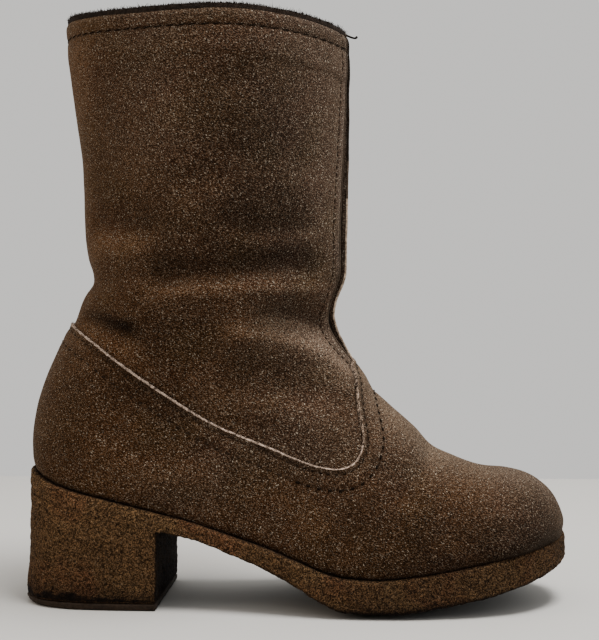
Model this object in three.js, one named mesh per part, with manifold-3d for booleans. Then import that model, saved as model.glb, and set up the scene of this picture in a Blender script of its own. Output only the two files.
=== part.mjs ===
// One ankle-to-calf suede boot, right foot, millimetres, +X toward the toe, +Z up.
// The upper is a hollow shell lofted through tilted sections that fan round the instep,
// from the toe to the collar. A sheet named FEATHER closes it underneath. The crepe sole,
// block heel and top-piece follow the same plan outline.
import * as THREE from 'three';
import Module from 'manifold-3d';

const wasm = await Module();
wasm.setup();
const { Manifold, Mesh } = wasm;

// ---------------------------------------------------------------- driving sizes
const LENGTH = 252.2;        // outsole, from the plan's origin to the toe
const BACK_X = 1.9;          // back of the sole above the heel's flare
const BALL_WIDTH = 93.5;     // outsole at the ball
const WALL = 2.2;            // suede with its lining
const GAP = 0.3;             // clearance between pieces that meet
const INSOLE_T = 2.0;
const COLLAR_DIP = 2.2;      // sides of the collar below its front and back
const TIP_T = 3.2;           // top-piece of the heel
const FLARE = 1.65;          // how far the heel's back stands out near the floor
const HEEL_X = 66.0;         // heel breast
const EDGE = 3.0;            // rounded lower edge of the sole
const ROWS_PER_STATION = 1.4;
const COLUMNS = 44;

// ---------------------------------------------------------------- section table
// top/front end, bottom/back end, ridge offset, half widths (lateral, medial),
// place of the widest point, upper and lower roundness
const SECTIONS = [
// name         Tx     Tz     Bx     Bz    y0   Wl    Wm    tm   pu    pl
['toe tip',    251.8,  33.0, 251.8,  33.0, 8.0,  0.0,  0.0, .46, 2.20, 2.4],
['toe 1',      251.2,  38.6, 251.2,  27.5, 8.0, 10.5,  9.0, .46, 2.20, 2.6],
['toe 2',      249.4,  43.6, 249.2,  24.0, 8.0, 17.5, 15.0, .46, 2.20, 2.8],
['toe 3',      246.2,  48.6, 245.8,  21.5, 7.6, 24.0, 20.5, .46, 2.20, 2.9],
['toe 4',      241.5,  53.4, 241.0,  19.5, 7.2, 29.5, 26.0, .45, 2.20, 3.0],
['toe box',    235.0,  57.4, 235.0,  17.0, 6.6, 34.5, 31.5, .44, 2.20, 3.1],
['toe root',   226.0,  59.9, 226.5,  14.0, 6.0, 39.0, 36.5, .42, 2.15, 3.2],
['fore ball',  213.0,  61.3, 214.0,  11.0, 5.6, 42.5, 41.0, .40, 2.05, 3.3],
['flex',       200.3,  65.8, 202.0,   8.5, 5.4, 45.0, 43.6, .36, 1.95, 3.3],
['ball',       190.6,  70.6, 190.5,   6.8, 5.2, 46.8, 44.3, .33, 1.90, 3.3],
['back ball',  182.0,  79.4, 178.5,   5.2, 5.0, 47.8, 43.8, .29, 1.86, 3.3],
['vamp',       173.5,  86.8, 164.0,   4.5, 4.8, 47.8, 41.8, .27, 1.84, 3.4],
['fore waist', 163.5,  96.2, 148.0,   5.5, 4.4, 46.3, 38.2, .26, 1.84, 3.5],
['waist',      158.3, 104.0, 129.0,   9.5, 3.8, 42.6, 32.5, .25, 1.84, 3.7],
['instep',     153.4, 111.0, 107.0,  17.0, 3.0, 37.0, 28.2, .25, 1.86, 3.9],
['instep 2',   149.2, 117.2,  83.0,  24.5, 2.2, 33.4, 28.0, .26, 1.88, 4.0],
['instep 3',   146.3, 122.2,  58.0,  30.5, 1.4, 32.0, 30.0, .28, 1.92, 4.0],
['throat',     144.7, 127.0,  34.0,  37.0,  .8, 31.6, 31.2, .30, 1.96, 3.7],
['long heel',  143.8, 131.0,  14.5,  46.0,  .4, 31.4, 31.2, .32, 2.00, 3.2],
['short heel', 143.9, 134.2,   6.0,  57.5,  .2, 31.6, 31.4, .34, 2.00, 2.8],
['counter 1',  144.4, 136.8,   3.0,  69.5,  .0, 32.0, 31.8, .37, 2.00, 2.55],
['counter 2',  145.0, 139.2,   3.2,  81.8,  .0, 32.6, 32.2, .40, 2.00, 2.35],
['counter 3',  145.9, 141.6,   6.2,  95.5,  .0, 33.4, 33.0, .43, 2.00, 2.2],
['counter 4',  147.0, 144.2,  11.6, 109.8,  .0, 34.4, 34.0, .46, 1.95, 2.1],
['counter 5',  148.3, 147.4,  18.4, 124.0,  .0, 35.4, 35.0, .48, 1.90, 2.0],
['ankle low',  149.4, 151.4,  24.6, 136.6,  .0, 36.4, 36.0, .50, 1.88, 1.95],
['ankle',      149.6, 157.4,  30.2, 148.6,  .0, 37.2, 36.8, .50, 1.86, 1.9],
['ankle high', 149.4, 166.0,  28.6, 158.2,  .0, 38.2, 38.0, .50, 1.85, 1.88],
['shaft 1',    149.6, 177.0,  27.2, 172.0,  .0, 39.8, 39.6, .50, 1.84, 1.86],
['shaft 2',    149.8, 190.0,  26.6, 188.0,  .0, 41.4, 41.2, .50, 1.83, 1.84],
['shaft 3',    150.1, 204.0,  25.8, 204.0,  .0, 42.8, 42.6, .50, 1.82, 1.82],
['shaft 4',    150.3, 220.0,  23.4, 221.5,  .0, 43.8, 43.6, .50, 1.81, 1.80],
['shaft 5',    150.6, 236.0,  20.8, 238.5,  .0, 44.6, 44.4, .50, 1.80, 1.78],
['shaft 6',    150.8, 251.0,  18.6, 254.5,  .0, 45.2, 45.0, .50, 1.80, 1.77],
['collar',     150.5, 264.5,  17.2, 269.3,  .0, 45.8, 45.6, .50, 1.80, 1.76],
];
const ROWS = SECTIONS.map((r) => r.slice(1));
const LAST = ROWS.length - 1;

// sheet between the upper and the sole, along the length
const FEATHER = [ // x, z
  [-6, 64.5], [3.6, 60.8], [12, 57.0], [24, 53.2], [38, 49.7], [52, 46.4], [65.7, 43.1], [80.3, 39.5],
  [102.1, 32.6], [116.8, 28.0], [129.7, 23.1], [139.7, 19.4], [149.2, 17.4], [161.2, 16.8],
  [173.2, 17.7], [186.6, 19.4], [201.4, 21.7], [215.6, 24.2], [231.3, 27.3], [243.7, 30.0],
  [251.7, 32.0], [260, 34.2],
];
// underside of the sole: waist, flat tread, toe spring
const UNDER = [ // x, z
  [-6, 54.0], [0, 51.5], [20, 45.9], [40, 40.8], [66, 34.7], [83, 30.7], [100, 24.5], [110, 20.8],
  [120, 15.9], [128, 11.2], [135, 6.6], [142, 2.6], [148, 0.25], [152, 0], [158, 0], [166, 0], [172, 0],
  [180, 0.9], [190, 2.8], [202, 5.3], [216, 8.6], [231, 12.6], [243, 16.0], [249, 18.2], [254, 20.6],
];
// rise of the collar's edge along its length, above the line through its front and back
const COLLAR_LINE = [ // x, rise
  [10, 0], [28, -0.6], [50, -1.05], [66, -0.7], [80, 0.2], [94, 1.1], [107, 1.5], [121, 1.0],
  [131, 0.5], [141, -0.4], [150, -1.0],
];
// plan outline of the sole, from the long axis of the heel
const PLAN = [ // x, lateral, medial
  [1.9, 0.0, 0.0], [2.5, 7.0, 7.0], [4.0, 13.0, 13.0], [6.8, 18.6, 18.6], [11.2, 23.6, 23.8],
  [17.8, 27.6, 28.0], [27.4, 30.4, 30.8], [40, 31.7, 32.2], [55, 32.2, 32.4], [70, 32.3, 31.4],
  [85, 32.9, 29.4], [100, 34.5, 28.4], [113, 36.9, 29.4], [126, 39.7, 32.7], [138, 42.0, 37.4],
  [150, 43.4, 42.4], [163, 44.0, 46.6], [176, 43.6, 49.0], [190, 42.2, 49.7], [204, 39.8, 48.8],
  [217, 36.0, 46.3], [228, 30.8, 42.2], [237, 24.6, 36.8], [244, 17.0, 30.0], [248.6, 9.6, 23.6],
  [251.3, 1.6, 16.2], [252.2, -8.0, 8.0],
];

// ---------------------------------------------------------------- helpers
function knots(rows) {
  const w = [1, 1, 1, 1, 0.5, 0.6, 0.6];
  const k = [0];
  for (let i = 1; i < rows.length; i++) {
    let s = 0;
    for (let c = 0; c < 7; c++) s += ((rows[i][c] - rows[i - 1][c]) * w[c]) ** 2;
    k.push(k[i - 1] + Math.sqrt(Math.sqrt(s)));
  }
  return k;
}
const KNOT = knots(ROWS);
const lerp = (a, b, ta, tb, t) => a.map((v, i) => ((tb - t) * v + (t - ta) * b[i]) / (tb - ta));

// centripetal spline through the section table
function section(u) {
  const i = Math.min(LAST - 1, Math.max(0, Math.floor(u)));
  const f = u - i;
  const row = (k) => {
    if (k < 0) { const r = ROWS[1]; return [r[2], r[3], r[0], r[1], r[4], -r[5], -r[6], r[7], r[8], r[9]]; }
    if (k > LAST) return ROWS[LAST].map((v, c) => 2 * v - ROWS[LAST - 1][c]);
    return ROWS[k];
  };
  const kn = (k) => (k < 0 ? KNOT[0] - (KNOT[1] - KNOT[0]) : k > LAST ? 2 * KNOT[LAST] - KNOT[LAST - 1] : KNOT[k]);
  const [t0, t1, t2, t3] = [kn(i - 1), kn(i), kn(i + 1), kn(i + 2)];
  const t = t1 + f * (t2 - t1);
  const a1 = lerp(row(i - 1), row(i), t0, t1, t), a2 = lerp(row(i), row(i + 1), t1, t2, t), a3 = lerp(row(i + 1), row(i + 2), t2, t3, t);
  return lerp(lerp(a1, a2, t0, t2, t), lerp(a2, a3, t1, t3, t), t1, t2, t);
}
// point of the last's surface: a = 0 top or front ridge, a = PI bottom or back
function surface(u, a) {
  const [Tx, Tz, Bx, Bz, y0, Wl, Wm, tm, pu, pl] = section(u);
  const c = Math.cos(a), s = Math.sin(a);
  const p = c >= 0 ? pu : pl;
  const k = Math.abs(c) ** (2 / p), w = Math.abs(s) ** (2 / p);
  const t = c >= 0 ? tm + (1 - tm) * k : tm - tm * k;
  const x = Bx + (Tx - Bx) * t;
  const dip = Math.min(1, Math.max(0, (u - (LAST - 5)) / 5)) ** 2 * (COLLAR_DIP * s * s - collarRise(x));
  return new THREE.Vector3(x, y0 + (s >= 0 ? Wm : -Wl) * w, Bz + (Tz - Bz) * t - dip);
}
function normal(u, a) {
  const e = 1e-3, uu = Math.max(u, 0.02);
  const du = surface(uu + e, a).sub(surface(uu - e, a));
  let da = surface(uu, a + e).sub(surface(uu, a - e));
  return du.cross(da).normalize().negate();
}
// piecewise cubic through [x, ...] rows
function curve(rows, col) {
  const n = rows.length;
  const d = [];
  for (let i = 0; i < n - 1; i++) d.push((rows[i + 1][col] - rows[i][col]) / (rows[i + 1][0] - rows[i][0]));
  const m = rows.map((_, i) => (i === 0 ? d[0] : i === n - 1 ? d[n - 2] : d[i - 1] * d[i] <= 0 ? 0 : 2 * d[i - 1] * d[i] / (d[i - 1] + d[i])));
  return (x) => {
    let i = 0;
    while (i < n - 2 && x > rows[i + 1][0]) i++;
    const h = rows[i + 1][0] - rows[i][0];
    const t = Math.min(1, Math.max(0, (x - rows[i][0]) / h));
    const t2 = t * t, t3 = t2 * t;
    return (2 * t3 - 3 * t2 + 1) * rows[i][col] + (t3 - 2 * t2 + t) * h * m[i] + (-2 * t3 + 3 * t2) * rows[i + 1][col] + (t3 - t2) * h * m[i + 1];
  };
}
const featherZ = curve(FEATHER, 1), underZ = curve(UNDER, 1), collarRise = curve(COLLAR_LINE, 1);

function toManifold(points, tris) {
  const v = new Float32Array(points.length * 3);
  points.forEach((p, i) => { v[3 * i] = p.x; v[3 * i + 1] = p.y; v[3 * i + 2] = p.z; });
  const mesh = new Mesh({ numProp: 3, vertProperties: v, triVerts: new Uint32Array(tris.flat()) });
  mesh.merge();
  const m = new Manifold(mesh);
  return m.volume() < 0 ? new Manifold(new Mesh({ numProp: 3, vertProperties: v, triVerts: new Uint32Array(tris.map(([a, b, c]) => [a, c, b]).flat()) })) : m;
}
// closed body from rings of equal count, flat or fanned caps
function loft(rings, capStart = true, capEnd = true) {
  const pts = [], tris = [], n = rings[0].length;
  rings.forEach((r) => r.forEach((p) => pts.push(p)));
  for (let i = 0; i < rings.length - 1; i++) for (let j = 0; j < n; j++) {
    const a = i * n + j, b = i * n + (j + 1) % n, c = a + n, d = b + n;
    tris.push([a, c, b], [b, c, d]);
  }
  const cap = (i, flip) => {
    const m = new THREE.Vector3();
    rings[i].forEach((p) => m.add(p));
    m.multiplyScalar(1 / n);
    const k = pts.push(m) - 1;
    for (let j = 0; j < n; j++) {
      const a = i * n + j, b = i * n + (j + 1) % n;
      tris.push(flip ? [k, b, a] : [k, a, b]);
    }
  };
  if (capStart) cap(0, false);
  if (capEnd) cap(rings.length - 1, true);
  return toManifold(pts, tris);
}
// body under (or over) a curve in x and z, between two sides in y
function slab(lower, upper, x0, x1, half, steps = 44) {
  const rings = [];
  for (let i = 0; i <= steps; i++) {
    const x = x0 + (x1 - x0) * i / steps;
    rings.push([new THREE.Vector3(x, -half, lower(x)), new THREE.Vector3(x, half, lower(x)), new THREE.Vector3(x, half, upper(x)), new THREE.Vector3(x, -half, upper(x))]);
  }
  return loft(rings);
}

// ---------------------------------------------------------------- upper and insole
function lastBody(inset, collarExtra) {
  const rings = [];
  const us = [0.18, 0.5, 0.8];
  const steps = Math.round(LAST * ROWS_PER_STATION);
  for (let i = 1; i <= steps; i++) { const u = LAST * i / steps; if (u > 0.95) us.push(u); }
  for (const u of us) {
    const ring = [];
    for (let j = 0; j < COLUMNS; j++) {
      const a = -Math.PI + 2 * Math.PI * j / COLUMNS;
      const p = surface(u, a);
      if (inset) p.addScaledVector(normal(Math.min(u, LAST - 0.01), a), -inset);
      ring.push(p);
    }
    rings.push(ring);
  }
  if (collarExtra) rings.push(rings[rings.length - 1].map((p) => p.clone().add(new THREE.Vector3(0, 0, collarExtra))));
  return loft(rings);
}
const outer = lastBody(0, 0);
const inner = lastBody(WALL, 8);
const belowFeather = slab(() => -20, (x) => featherZ(x) + GAP / 2, -5, 259, 80);
const upper = outer.subtract(inner).subtract(belowFeather);
const insoleFit = lastBody(WALL + GAP, 0);
const insoleSlab = slab((x) => featherZ(x) + GAP / 2, (x) => featherZ(x) + GAP / 2 + INSOLE_T, -5, 259, 80);
const insole = insoleFit.intersect(insoleSlab);

// ---------------------------------------------------------------- sole, heel, top-piece
const planL = curve(PLAN, 1), planM = curve(PLAN, 2);
// stations along the outline, close together at both round ends
function stations(x0, x1, count, easeStart, easeEnd) {
  const out = [];
  for (let i = 0; i <= count; i++) {
    let t = i / count;
    if (easeStart && easeEnd) t = (1 - Math.cos(Math.PI * t)) / 2;
    else if (easeStart) t = 1 - Math.cos(Math.PI * t / 2);
    out.push(x0 + (x1 - x0) * t);
  }
  return out;
}
const soleRings = stations(BACK_X + 0.12, LENGTH - 0.1, 60, true, true).map((x) => {
  const l = -planL(x), m = planM(x), w = m - l;
  const e = Math.min(EDGE, 0.3 * w);
  const zt = featherZ(x) - GAP / 2, zb = underZ(x);
  const up = zb + Math.min(EDGE, 0.5 * (zt - zb));
  const flat = x < HEEL_X + 4 ? 0 : 1; // sharp lower edge over the heel
  const ee = flat ? e : 0.02, uu = flat ? up : zb + 0.02;
  return [[l + ee, zb], [l, uu], [l, zt], [m, zt], [m, uu], [m - ee, zb]].map(([y, z]) => new THREE.Vector3(x, y, z));
});
const sole = loft(soleRings);

// levels: z (null is the sole's underside), inset of the sides, shift of the back
function heelBody(levels) {
  const rings = stations(BACK_X + 0.15, HEEL_X, 26, true, false).map((x) => {
    const k = (HEEL_X - x) / (HEEL_X - BACK_X);
    const l = -planL(x), m = planM(x), outerSide = [], innerSide = [];
    for (const [z, inset, shift] of levels) {
      const ii = Math.min(inset, 0.45 * (m - l)), zz = z === null ? underZ(x) - GAP : z;
      outerSide.push(new THREE.Vector3(x + shift * k * k, l + ii, zz));
      innerSide.unshift(new THREE.Vector3(x + shift * k * k, m - ii, zz));
    }
    return [...outerSide, ...innerSide];
  });
  return loft(rings);
}
const heel = heelBody([[TIP_T + GAP, 0.2, 0.3 - FLARE], [8, 0, -FLARE], [21, 0, -0.3], [null, 0, 0]]);
const heelTip = heelBody([[0, 0.7, 2.6 - FLARE], [1.2, 0.3, 1.1 - FLARE], [TIP_T, 0.2, 0.4 - FLARE]]);

// ---------------------------------------------------------------- meshes
const MATERIALS = {
  upper: { color: 0x5f4c3c, roughness: 0.96 },
  insole: { color: 0x8a6a4c, roughness: 0.8 },
  sole: { color: 0x6b4e2e, roughness: 0.95 },
  heel: { color: 0x6b4e2e, roughness: 0.95 },
  heel_tip: { color: 0x3a2c20, roughness: 0.9 },
};
function toMesh(name, body) {
  const m = body.getMesh();
  const g = new THREE.BufferGeometry();
  const n = m.numProp, p = new Float32Array(m.numVert * 3);
  for (let i = 0; i < m.numVert; i++) for (let k = 0; k < 3; k++) p[3 * i + k] = m.vertProperties[n * i + k];
  g.setAttribute('position', new THREE.BufferAttribute(p, 3));
  g.setIndex(new THREE.BufferAttribute(new Uint32Array(m.triVerts), 1));
  g.translate(-CENTRE_X, -CENTRE_Y, 0);
  g.computeVertexNormals();
  const mesh = new THREE.Mesh(g, new THREE.MeshStandardMaterial({ ...MATERIALS[name], metalness: 0 }));
  mesh.name = name;
  return mesh;
}
const bodies = { upper, insole, sole, heel, heel_tip: heelTip };
const box = new THREE.Box3();
for (const b of Object.values(bodies)) {
  const bb = b.boundingBox();
  box.expandByPoint(new THREE.Vector3(...bb.min)).expandByPoint(new THREE.Vector3(...bb.max));
}
const CENTRE_X = (box.min.x + box.max.x) / 2, CENTRE_Y = (box.min.y + box.max.y) / 2;

const boot = new THREE.Group();
boot.name = 'suede_boot';
for (const [name, body] of Object.entries(bodies)) boot.add(toMesh(name, body));
export default boot;
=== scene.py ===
import bpy, math
import numpy as np
from mathutils import Matrix, Vector


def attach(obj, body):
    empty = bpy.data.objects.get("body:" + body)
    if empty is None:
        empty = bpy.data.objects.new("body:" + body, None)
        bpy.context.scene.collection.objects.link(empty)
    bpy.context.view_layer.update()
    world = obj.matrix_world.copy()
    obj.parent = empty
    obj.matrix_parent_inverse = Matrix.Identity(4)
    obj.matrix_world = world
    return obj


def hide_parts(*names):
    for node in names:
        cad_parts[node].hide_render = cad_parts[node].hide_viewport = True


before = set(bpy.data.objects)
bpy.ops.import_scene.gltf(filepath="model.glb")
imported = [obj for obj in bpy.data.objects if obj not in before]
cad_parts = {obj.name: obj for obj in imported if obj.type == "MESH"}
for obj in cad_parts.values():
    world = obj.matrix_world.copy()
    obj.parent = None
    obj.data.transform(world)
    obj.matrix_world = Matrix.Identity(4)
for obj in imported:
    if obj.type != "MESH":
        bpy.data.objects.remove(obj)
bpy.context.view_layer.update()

# ---------------------------------------------------------------- the last, in mm (as in the CAD source)
CENTRE = np.array([126.2538, 1.9495, 0.0])
COLLAR_DIP = 2.2
BACK_X = 1.9
FLARE = 1.65
# Tx Tz Bx Bz y0 Wl Wm tm pu pl : top/front end, bottom/back end, ridge offset, half widths,
# place of the widest point, upper and lower roundness
ST = np.array([
    [251.8, 33.0, 251.8, 33.0, 8.0, 0.0, 0.0, .46, 2.2, 2.4],
    [251.2, 38.6, 251.2, 27.5, 8.0, 10.5, 9.0, .46, 2.2, 2.6],
    [249.4, 43.6, 249.2, 24.0, 8.0, 17.5, 15.0, .46, 2.2, 2.8],
    [246.2, 48.6, 245.8, 21.5, 7.6, 24.0, 20.5, .46, 2.2, 2.9],
    [241.5, 53.4, 241.0, 19.5, 7.2, 29.5, 26.0, .45, 2.2, 3.0],
    [235.0, 57.4, 235.0, 17.0, 6.6, 34.5, 31.5, .44, 2.2, 3.1],
    [226.0, 59.9, 226.5, 14.0, 6.0, 39.0, 36.5, .42, 2.15, 3.2],
    [213.0, 61.3, 214.0, 11.0, 5.6, 42.5, 41.0, .40, 2.05, 3.3],
    [200.3, 65.8, 202.0, 8.5, 5.4, 45.0, 43.6, .36, 1.95, 3.3],
    [190.6, 70.6, 190.5, 6.8, 5.2, 46.8, 44.3, .33, 1.90, 3.3],
    [182.0, 79.4, 178.5, 5.2, 5.0, 47.8, 43.8, .29, 1.86, 3.3],
    [173.5, 86.8, 164.0, 4.5, 4.8, 47.8, 41.8, .27, 1.84, 3.4],
    [163.5, 96.2, 148.0, 5.5, 4.4, 46.3, 38.2, .26, 1.84, 3.5],
    [158.3, 104.0, 129.0, 9.5, 3.8, 42.6, 32.5, .25, 1.84, 3.7],
    [153.4, 111.0, 107.0, 17.0, 3.0, 37.0, 28.2, .25, 1.86, 3.9],
    [149.2, 117.2, 83.0, 24.5, 2.2, 33.4, 28.0, .26, 1.88, 4.0],
    [146.3, 122.2, 58.0, 30.5, 1.4, 32.0, 30.0, .28, 1.92, 4.0],
    [144.7, 127.0, 34.0, 37.0, .8, 31.6, 31.2, .30, 1.96, 3.7],
    [143.8, 131.0, 14.5, 46.0, .4, 31.4, 31.2, .32, 2.0, 3.2],
    [143.9, 134.2, 6.0, 57.5, .2, 31.6, 31.4, .34, 2.0, 2.8],
    [144.4, 136.8, 3.0, 69.5, .0, 32.0, 31.8, .37, 2.0, 2.55],
    [145.0, 139.2, 3.2, 81.8, .0, 32.6, 32.2, .40, 2.0, 2.35],
    [145.9, 141.6, 6.2, 95.5, .0, 33.4, 33.0, .43, 2.0, 2.2],
    [147.0, 144.2, 11.6, 109.8, .0, 34.4, 34.0, .46, 1.95, 2.1],
    [148.3, 147.4, 18.4, 124.0, .0, 35.4, 35.0, .48, 1.9, 2.0],
    [149.4, 151.4, 24.6, 136.6, .0, 36.4, 36.0, .50, 1.88, 1.95],
    [149.6, 157.4, 30.2, 148.6, .0, 37.2, 36.8, .50, 1.86, 1.9],
    [149.4, 166.0, 28.6, 158.2, .0, 38.2, 38.0, .50, 1.85, 1.88],
    [149.6, 177.0, 27.2, 172.0, .0, 39.8, 39.6, .50, 1.84, 1.86],
    [149.8, 190.0, 26.6, 188.0, .0, 41.4, 41.2, .50, 1.83, 1.84],
    [150.1, 204.0, 25.8, 204.0, .0, 42.8, 42.6, .50, 1.82, 1.82],
    [150.3, 220.0, 23.4, 221.5, .0, 43.8, 43.6, .50, 1.81, 1.80],
    [150.6, 236.0, 20.8, 238.5, .0, 44.6, 44.4, .50, 1.80, 1.78],
    [150.8, 251.0, 18.6, 254.5, .0, 45.2, 45.0, .50, 1.80, 1.77],
    [150.5, 264.5, 17.2, 269.3, .0, 45.8, 45.6, .50, 1.80, 1.76],
])
LAST = len(ST) - 1
FEATHER = np.array([[-6, 64.5], [3.6, 60.8], [12, 57.0], [24, 53.2], [38, 49.7], [52, 46.4], [65.7, 43.1],
    [80.3, 39.5], [102.1, 32.6], [116.8, 28.0], [129.7, 23.1], [139.7, 19.4], [149.2, 17.4], [161.2, 16.8],
    [173.2, 17.7], [186.6, 19.4], [201.4, 21.7], [215.6, 24.2], [231.3, 27.3], [243.7, 30.0], [251.7, 32.0], [260, 34.2]])
UNDER = np.array([[-6, 54.0], [0, 51.5], [20, 45.9], [40, 40.8], [66, 34.7], [83, 30.7], [100, 24.5], [110, 20.8],
    [120, 15.9], [128, 11.2], [135, 6.6], [142, 2.6], [148, 0.25], [152, 0], [158, 0], [166, 0], [172, 0],
    [180, 0.9], [190, 2.8], [202, 5.3], [216, 8.6], [231, 12.6], [243, 16.0], [249, 18.2], [254, 20.6]])
PLAN = np.array([[1.9, 0.0, 0.0], [2.5, 7.0, 7.0], [4.0, 13.0, 13.0], [6.8, 18.6, 18.6], [11.2, 23.6, 23.8],
    [17.8, 27.6, 28.0], [27.4, 30.4, 30.8], [40, 31.7, 32.2], [55, 32.2, 32.4], [70, 32.3, 31.4],
    [85, 32.9, 29.4], [100, 34.5, 28.4], [113, 36.9, 29.4], [126, 39.7, 32.7], [138, 42.0, 37.4],
    [150, 43.4, 42.4], [163, 44.0, 46.6], [176, 43.6, 49.0], [190, 42.2, 49.7], [204, 39.8, 48.8],
    [217, 36.0, 46.3], [228, 30.8, 42.2], [237, 24.6, 36.8], [244, 17.0, 30.0], [248.6, 9.6, 23.6],
    [251.3, 1.6, 16.2], [252.2, -8.0, 8.0]])
HEEL_X = 66.0
TIP_T = 3.2
COLLAR_LINE = np.array([[10, 0], [28, -.6], [50, -1.05], [66, -.7], [80, .2], [94, 1.1], [107, 1.5], [121, 1.0], [131, .5], [141, -.4], [150, -1.0]])


def curve(rows, col):
    x = rows[:, 0]; y = rows[:, col]
    d = np.diff(y) / np.diff(x)
    m = np.empty(len(x)); m[0] = d[0]; m[-1] = d[-1]
    prod = d[:-1] * d[1:]
    m[1:-1] = np.where(prod <= 0, 0.0, 2 * prod / np.where(d[:-1] + d[1:] == 0, 1, d[:-1] + d[1:]))

    def f(q):
        q = np.asarray(q, float)
        i = np.clip(np.searchsorted(x, q, side="right") - 1, 0, len(x) - 2)
        h = x[i + 1] - x[i]
        t = np.clip((q - x[i]) / h, 0, 1)
        t2 = t * t; t3 = t2 * t
        return (2 * t3 - 3 * t2 + 1) * y[i] + (t3 - 2 * t2 + t) * h * m[i] + (-2 * t3 + 3 * t2) * y[i + 1] + (t3 - t2) * h * m[i + 1]
    return f


feather_z, under_z = curve(FEATHER, 1), curve(UNDER, 1)
plan_l, plan_m = curve(PLAN, 1), curve(PLAN, 2)
collar_rise = curve(COLLAR_LINE, 1)

_w = np.array([1, 1, 1, 1, .5, .6, .6])
KNOT = np.concatenate([[0], np.cumsum(np.sqrt(np.sqrt(((np.diff(ST[:, :7], axis=0) * _w) ** 2).sum(1))))])


def section(u):
    u = np.atleast_1d(np.asarray(u, float)); n = len(ST)
    i = np.clip(np.floor(u).astype(int), 0, n - 2); f = u - i

    def kn(k):
        r = KNOT[np.clip(k, 0, n - 1)].copy()
        r[k < 0] = KNOT[0] - (KNOT[1] - KNOT[0]); r[k > n - 1] = 2 * KNOT[-1] - KNOT[-2]
        return r

    def row(k):
        r = ST[np.clip(k, 0, n - 1)].copy()
        lo, hi = k < 0, k > n - 1
        r[hi] = 2 * ST[-1] - ST[-2]
        r[lo] = ST[1]; r[lo, 0:4] = ST[1][[2, 3, 0, 1]]; r[lo, 5:7] = -ST[1][5:7]
        return r
    t0, t1, t2, t3 = kn(i - 1), kn(i), kn(i + 1), kn(i + 2)
    p0, p1, p2, p3 = row(i - 1), row(i), row(i + 1), row(i + 2)
    t = t1 + f * (t2 - t1)
    e = lambda a: a[:, None]
    mix = lambda a, b, ta, tb: (e(tb - t) * a + e(t - ta) * b) / e(tb - ta)
    a1, a2, a3 = mix(p0, p1, t0, t1), mix(p1, p2, t1, t2), mix(p2, p3, t2, t3)
    return mix(mix(a1, a2, t0, t2), mix(a2, a3, t1, t3), t1, t2)


def surface(r, u, th):
    """r: rows from section(u) shaped (n,10); th shaped (n,m). 0 is the top or front ridge, pi the bottom or back."""
    g = lambda k: r[:, k][:, None]
    c = np.cos(th); s = np.sin(th)
    up = c >= 0
    p = np.where(up, g(8), g(9))
    k = np.abs(c) ** (2 / p); w = np.abs(s) ** (2 / p)
    t = np.where(up, g(7) + (1 - g(7)) * k, g(7) - g(7) * k)
    x = g(2) + (g(0) - g(2)) * t
    z = g(3) + (g(1) - g(3)) * t
    y = g(4) + np.where(s >= 0, g(6), -g(5)) * w
    dip = np.clip((u[:, None] - (LAST - 5)) / 5, 0, 1) ** 2 * (COLLAR_DIP * s * s - collar_rise(x))
    return np.stack([x, y, z - dip], -1)


def normals(P):
    du = np.gradient(P, axis=0); dv = np.gradient(P, axis=1)
    N = np.cross(dv, du)
    L = np.linalg.norm(N, axis=-1, keepdims=True)
    return N / np.maximum(L, 1e-9)


def smooth01(t):
    t = np.clip(t, 0, 1)
    return t * t * (3 - 2 * t)


# ---------------------------------------------------------------- value noise
def vnoise(P, size, seed=0):
    q = np.asarray(P, float) / size + 1000.0
    i = np.floor(q).astype(np.int64); f = q - i
    f = f * f * (3 - 2 * f)

    def h(a, b, c):
        v = (a * 374761393 + b * 668265263 + c * 2147483647 + seed * 974634777) & 0xffffffff
        v = ((v ^ (v >> 13)) * 1274126177) & 0xffffffff
        v = ((v ^ (v >> 16)) * 2246822519) & 0xffffffff
        return ((v ^ (v >> 15)) & 0xffffff) / float(0xffffff)
    x, y, z = i[..., 0], i[..., 1], i[..., 2]
    fx, fy, fz = f[..., 0], f[..., 1], f[..., 2]
    l = lambda a, b, t: a + (b - a) * t
    return l(l(l(h(x, y, z), h(x + 1, y, z), fx), l(h(x, y + 1, z), h(x + 1, y + 1, z), fx), fy),
             l(l(h(x, y, z + 1), h(x + 1, y, z + 1), fx), l(h(x, y + 1, z + 1), h(x + 1, y + 1, z + 1), fx), fy), fz) * 2 - 1


# ---------------------------------------------------------------- seams and folds, read in the side view (x, z in mm)
# lap of the vamp over the shaft: from the back seam down the counter, under the instep and up to the tongue
LAP = np.array([[-20, 151.0], [14, 131.5], [22.5, 126.4], [36.3, 118.1], [49.9, 108.5], [63.9, 98.7], [78.7, 88.9], [92.4, 81.2],
    [106.7, 75.2], [120.5, 69.7], [128.6, 66.4], [137.9, 63.7], [145.3, 62.9], [150.6, 63.9], [154.6, 66.8],
    [156.9, 71.0], [157.8, 75.4], [157.4, 80.0], [156.0, 87.1], [154.6, 96.7], [153.6, 104.0], [153.2, 109.2], [158.0, 115.6], [190.0, 150.0]])
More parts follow.
